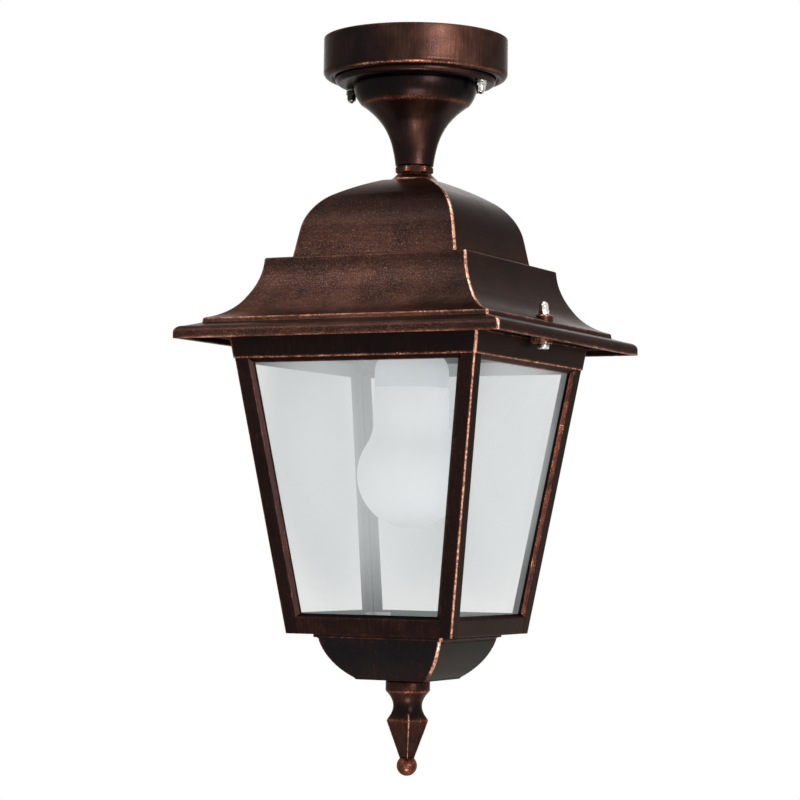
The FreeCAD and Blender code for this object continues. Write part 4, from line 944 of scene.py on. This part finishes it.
# white is how far the floor is topped up where it is looked at; past fade, in metres, it is plain white
stageForm = {"z": -2.15, "size": 9.0, "points": 9, "paper": rgb(246, 246, 246), "pale": rgb(250, 250, 250),
             "white": 0.9, "fade": (2.3, 4.5), "fill": 0.36}


def lookedAt(tree):
    # 1 where the camera, a mirror or a pane looks, 0 for light on its way
    rays = [addNode(tree, "ShaderNodeLightPath", output=name)
            for name in ("Is Camera Ray", "Is Glossy Ray", "Is Transmission Ray")]
    return rays[0].larger(rays[1]).larger(rays[2])


def makeFloor(s):
    # a flat square grid: paper that keeps shadows, topped up to white where it is looked at
    n = s["points"]
    x, y = np.meshgrid(*[np.linspace(-s["size"], s["size"], n)] * 2)
    flat = np.stack([x.ravel(), y.ravel(), np.full(n * n, s["z"])], 1)
    mesh = bpy.data.meshes.new("floorSheet")
    mesh.from_pydata(flat.tolist(), [], patchFaces(n, n, 0, False, False).tolist())
    floor = bpy.data.objects.new("floorSheet", mesh)
    bpy.context.scene.collection.objects.link(floor)
    f = Finish("paperFloor", Roughness=1.0)
    f.give(Base_Color=f.blend(f.noise(3.0), s["paper"], s["pale"]))
    light = f.add("ShaderNodeEmission", {}, {"Color": (1, 1, 1, 1), "Strength": 1.0})
    paper = Sock(f.tree, f.shader.outputs[0])
    away = f.add("ShaderNodeVectorMath", {"operation": "LENGTH"}, {"Vector": f.place}, "Value")
    white = away.ramp(*s["fade"]) * (1 - s["white"]) + s["white"]
    mixed = f.add("ShaderNodeMixShader", {}, {0: lookedAt(f.tree) * white, 1: paper, 2: light})
    f.tree.links.new(mixed.socket, f.tree.nodes["Material Output"].inputs["Surface"])
    mesh.materials.append(f.material)


def makeWorld(s):
    # the room lights the object at fill, and is plain white where it is seen or mirrored
    world = bpy.data.worlds.new("room")
    bpy.context.scene.world = world
    world.use_nodes = True
    tree = world.node_tree
    strength = lookedAt(tree) * (1.0 - s["fill"]) + s["fill"]
    back = tree.nodes["Background"]
    back.inputs["Color"].default_value = (1, 1, 1, 1)
    tree.links.new(strength.socket, back.inputs["Strength"])


# azimuth runs from the front (-Y) towards the right (+X), in degrees
lampForms = {
    "keyLamp": {"azimuth": 54.0, "elevation": 6.0, "distance": 2.2, "size": 0.9, "watts": 30.0},
    "leftSoft": {"azimuth": -32.0, "elevation": 40.0, "distance": 2.4, "size": 0.8, "watts": 9.0},
    "topSoft": {"azimuth": 10.0, "elevation": 80.0, "distance": 2.2, "size": 1.2, "watts": 24.0},
    "lowSoft": {"azimuth": 28.0, "elevation": -50.0, "distance": 2.1, "size": 0.6, "watts": 20.0},
    "backSoft": {"azimuth": 205.0, "elevation": 22.0, "distance": 2.4, "size": 1.6, "watts": 9.0},
    "backLow": {"azimuth": 160.0, "elevation": -25.0, "distance": 2.4, "size": 1.3, "watts": 7.0},
}


def addLamp(name, s, aim=(0, 0, -0.24)):
    a, e = math.radians(s["azimuth"]), math.radians(s["elevation"])
    way = Vector((math.sin(a) * math.cos(e), -math.cos(a) * math.cos(e), math.sin(e)))
    light = bpy.data.lights.new(name, "AREA")
    light.size = s["size"]
    light.energy = s["watts"]
    lamp = bpy.data.objects.new(name, light)
    lamp.location = Vector(aim) + way * s["distance"]
    lamp.rotation_mode = "QUATERNION"
    lamp.rotation_quaternion = way.to_track_quat("Z", "Y")
    bpy.context.scene.collection.objects.link(lamp)


makeFloor(stageForm)
makeWorld(stageForm)
for name, form in lampForms.items():
    addLamp(name, form)

# focal is in pixels of an 800 pixel wide picture
cameraForm = {"azimuth": 26.372, "distance": 1.42822, "height": -0.28151, "yaw": -0.258, "pitch": 3.120,
              "roll": 0.744, "focal": 2550.6, "picture": 800.0, "sensor": 36.0}


def swung(first, second, angle):
    # two directions at right angles, both turned by angle in their own plane
    c, s = math.cos(angle), math.sin(angle)
    return first * c + second * s, second * c - first * s


def makeCamera(s):
    # standing at the azimuth, turned by yaw, then pitch, then roll
    a, yaw, pitch, roll = (math.radians(s[k]) for k in ("azimuth", "yaw", "pitch", "roll"))
    ahead = Vector((-math.sin(a), math.cos(a), 0))
    right = Vector((math.cos(a), math.sin(a), 0))
    up = Vector((0, 0, 1))
    ahead, right = swung(ahead, right, yaw)
    ahead, up = swung(ahead, up, pitch)
    right, up = swung(right, up, roll)
    data = bpy.data.cameras.new("camera")
    data.sensor_width = s["sensor"]
    data.lens = s["focal"] * s["sensor"] / s["picture"]
    data.clip_start = 0.05
    camera = bpy.data.objects.new("camera", data)
    turn = Matrix((right, up, -ahead)).transposed().to_4x4()
    turn.translation = Vector((math.sin(a) * s["distance"], -math.cos(a) * s["distance"], s["height"]))
    camera.matrix_world = turn
    bpy.context.scene.collection.objects.link(camera)
    bpy.context.scene.camera = camera


makeCamera(cameraForm)
bpy.context.scene.view_settings.view_transform = "Standard"
print("floor, light and camera placed")
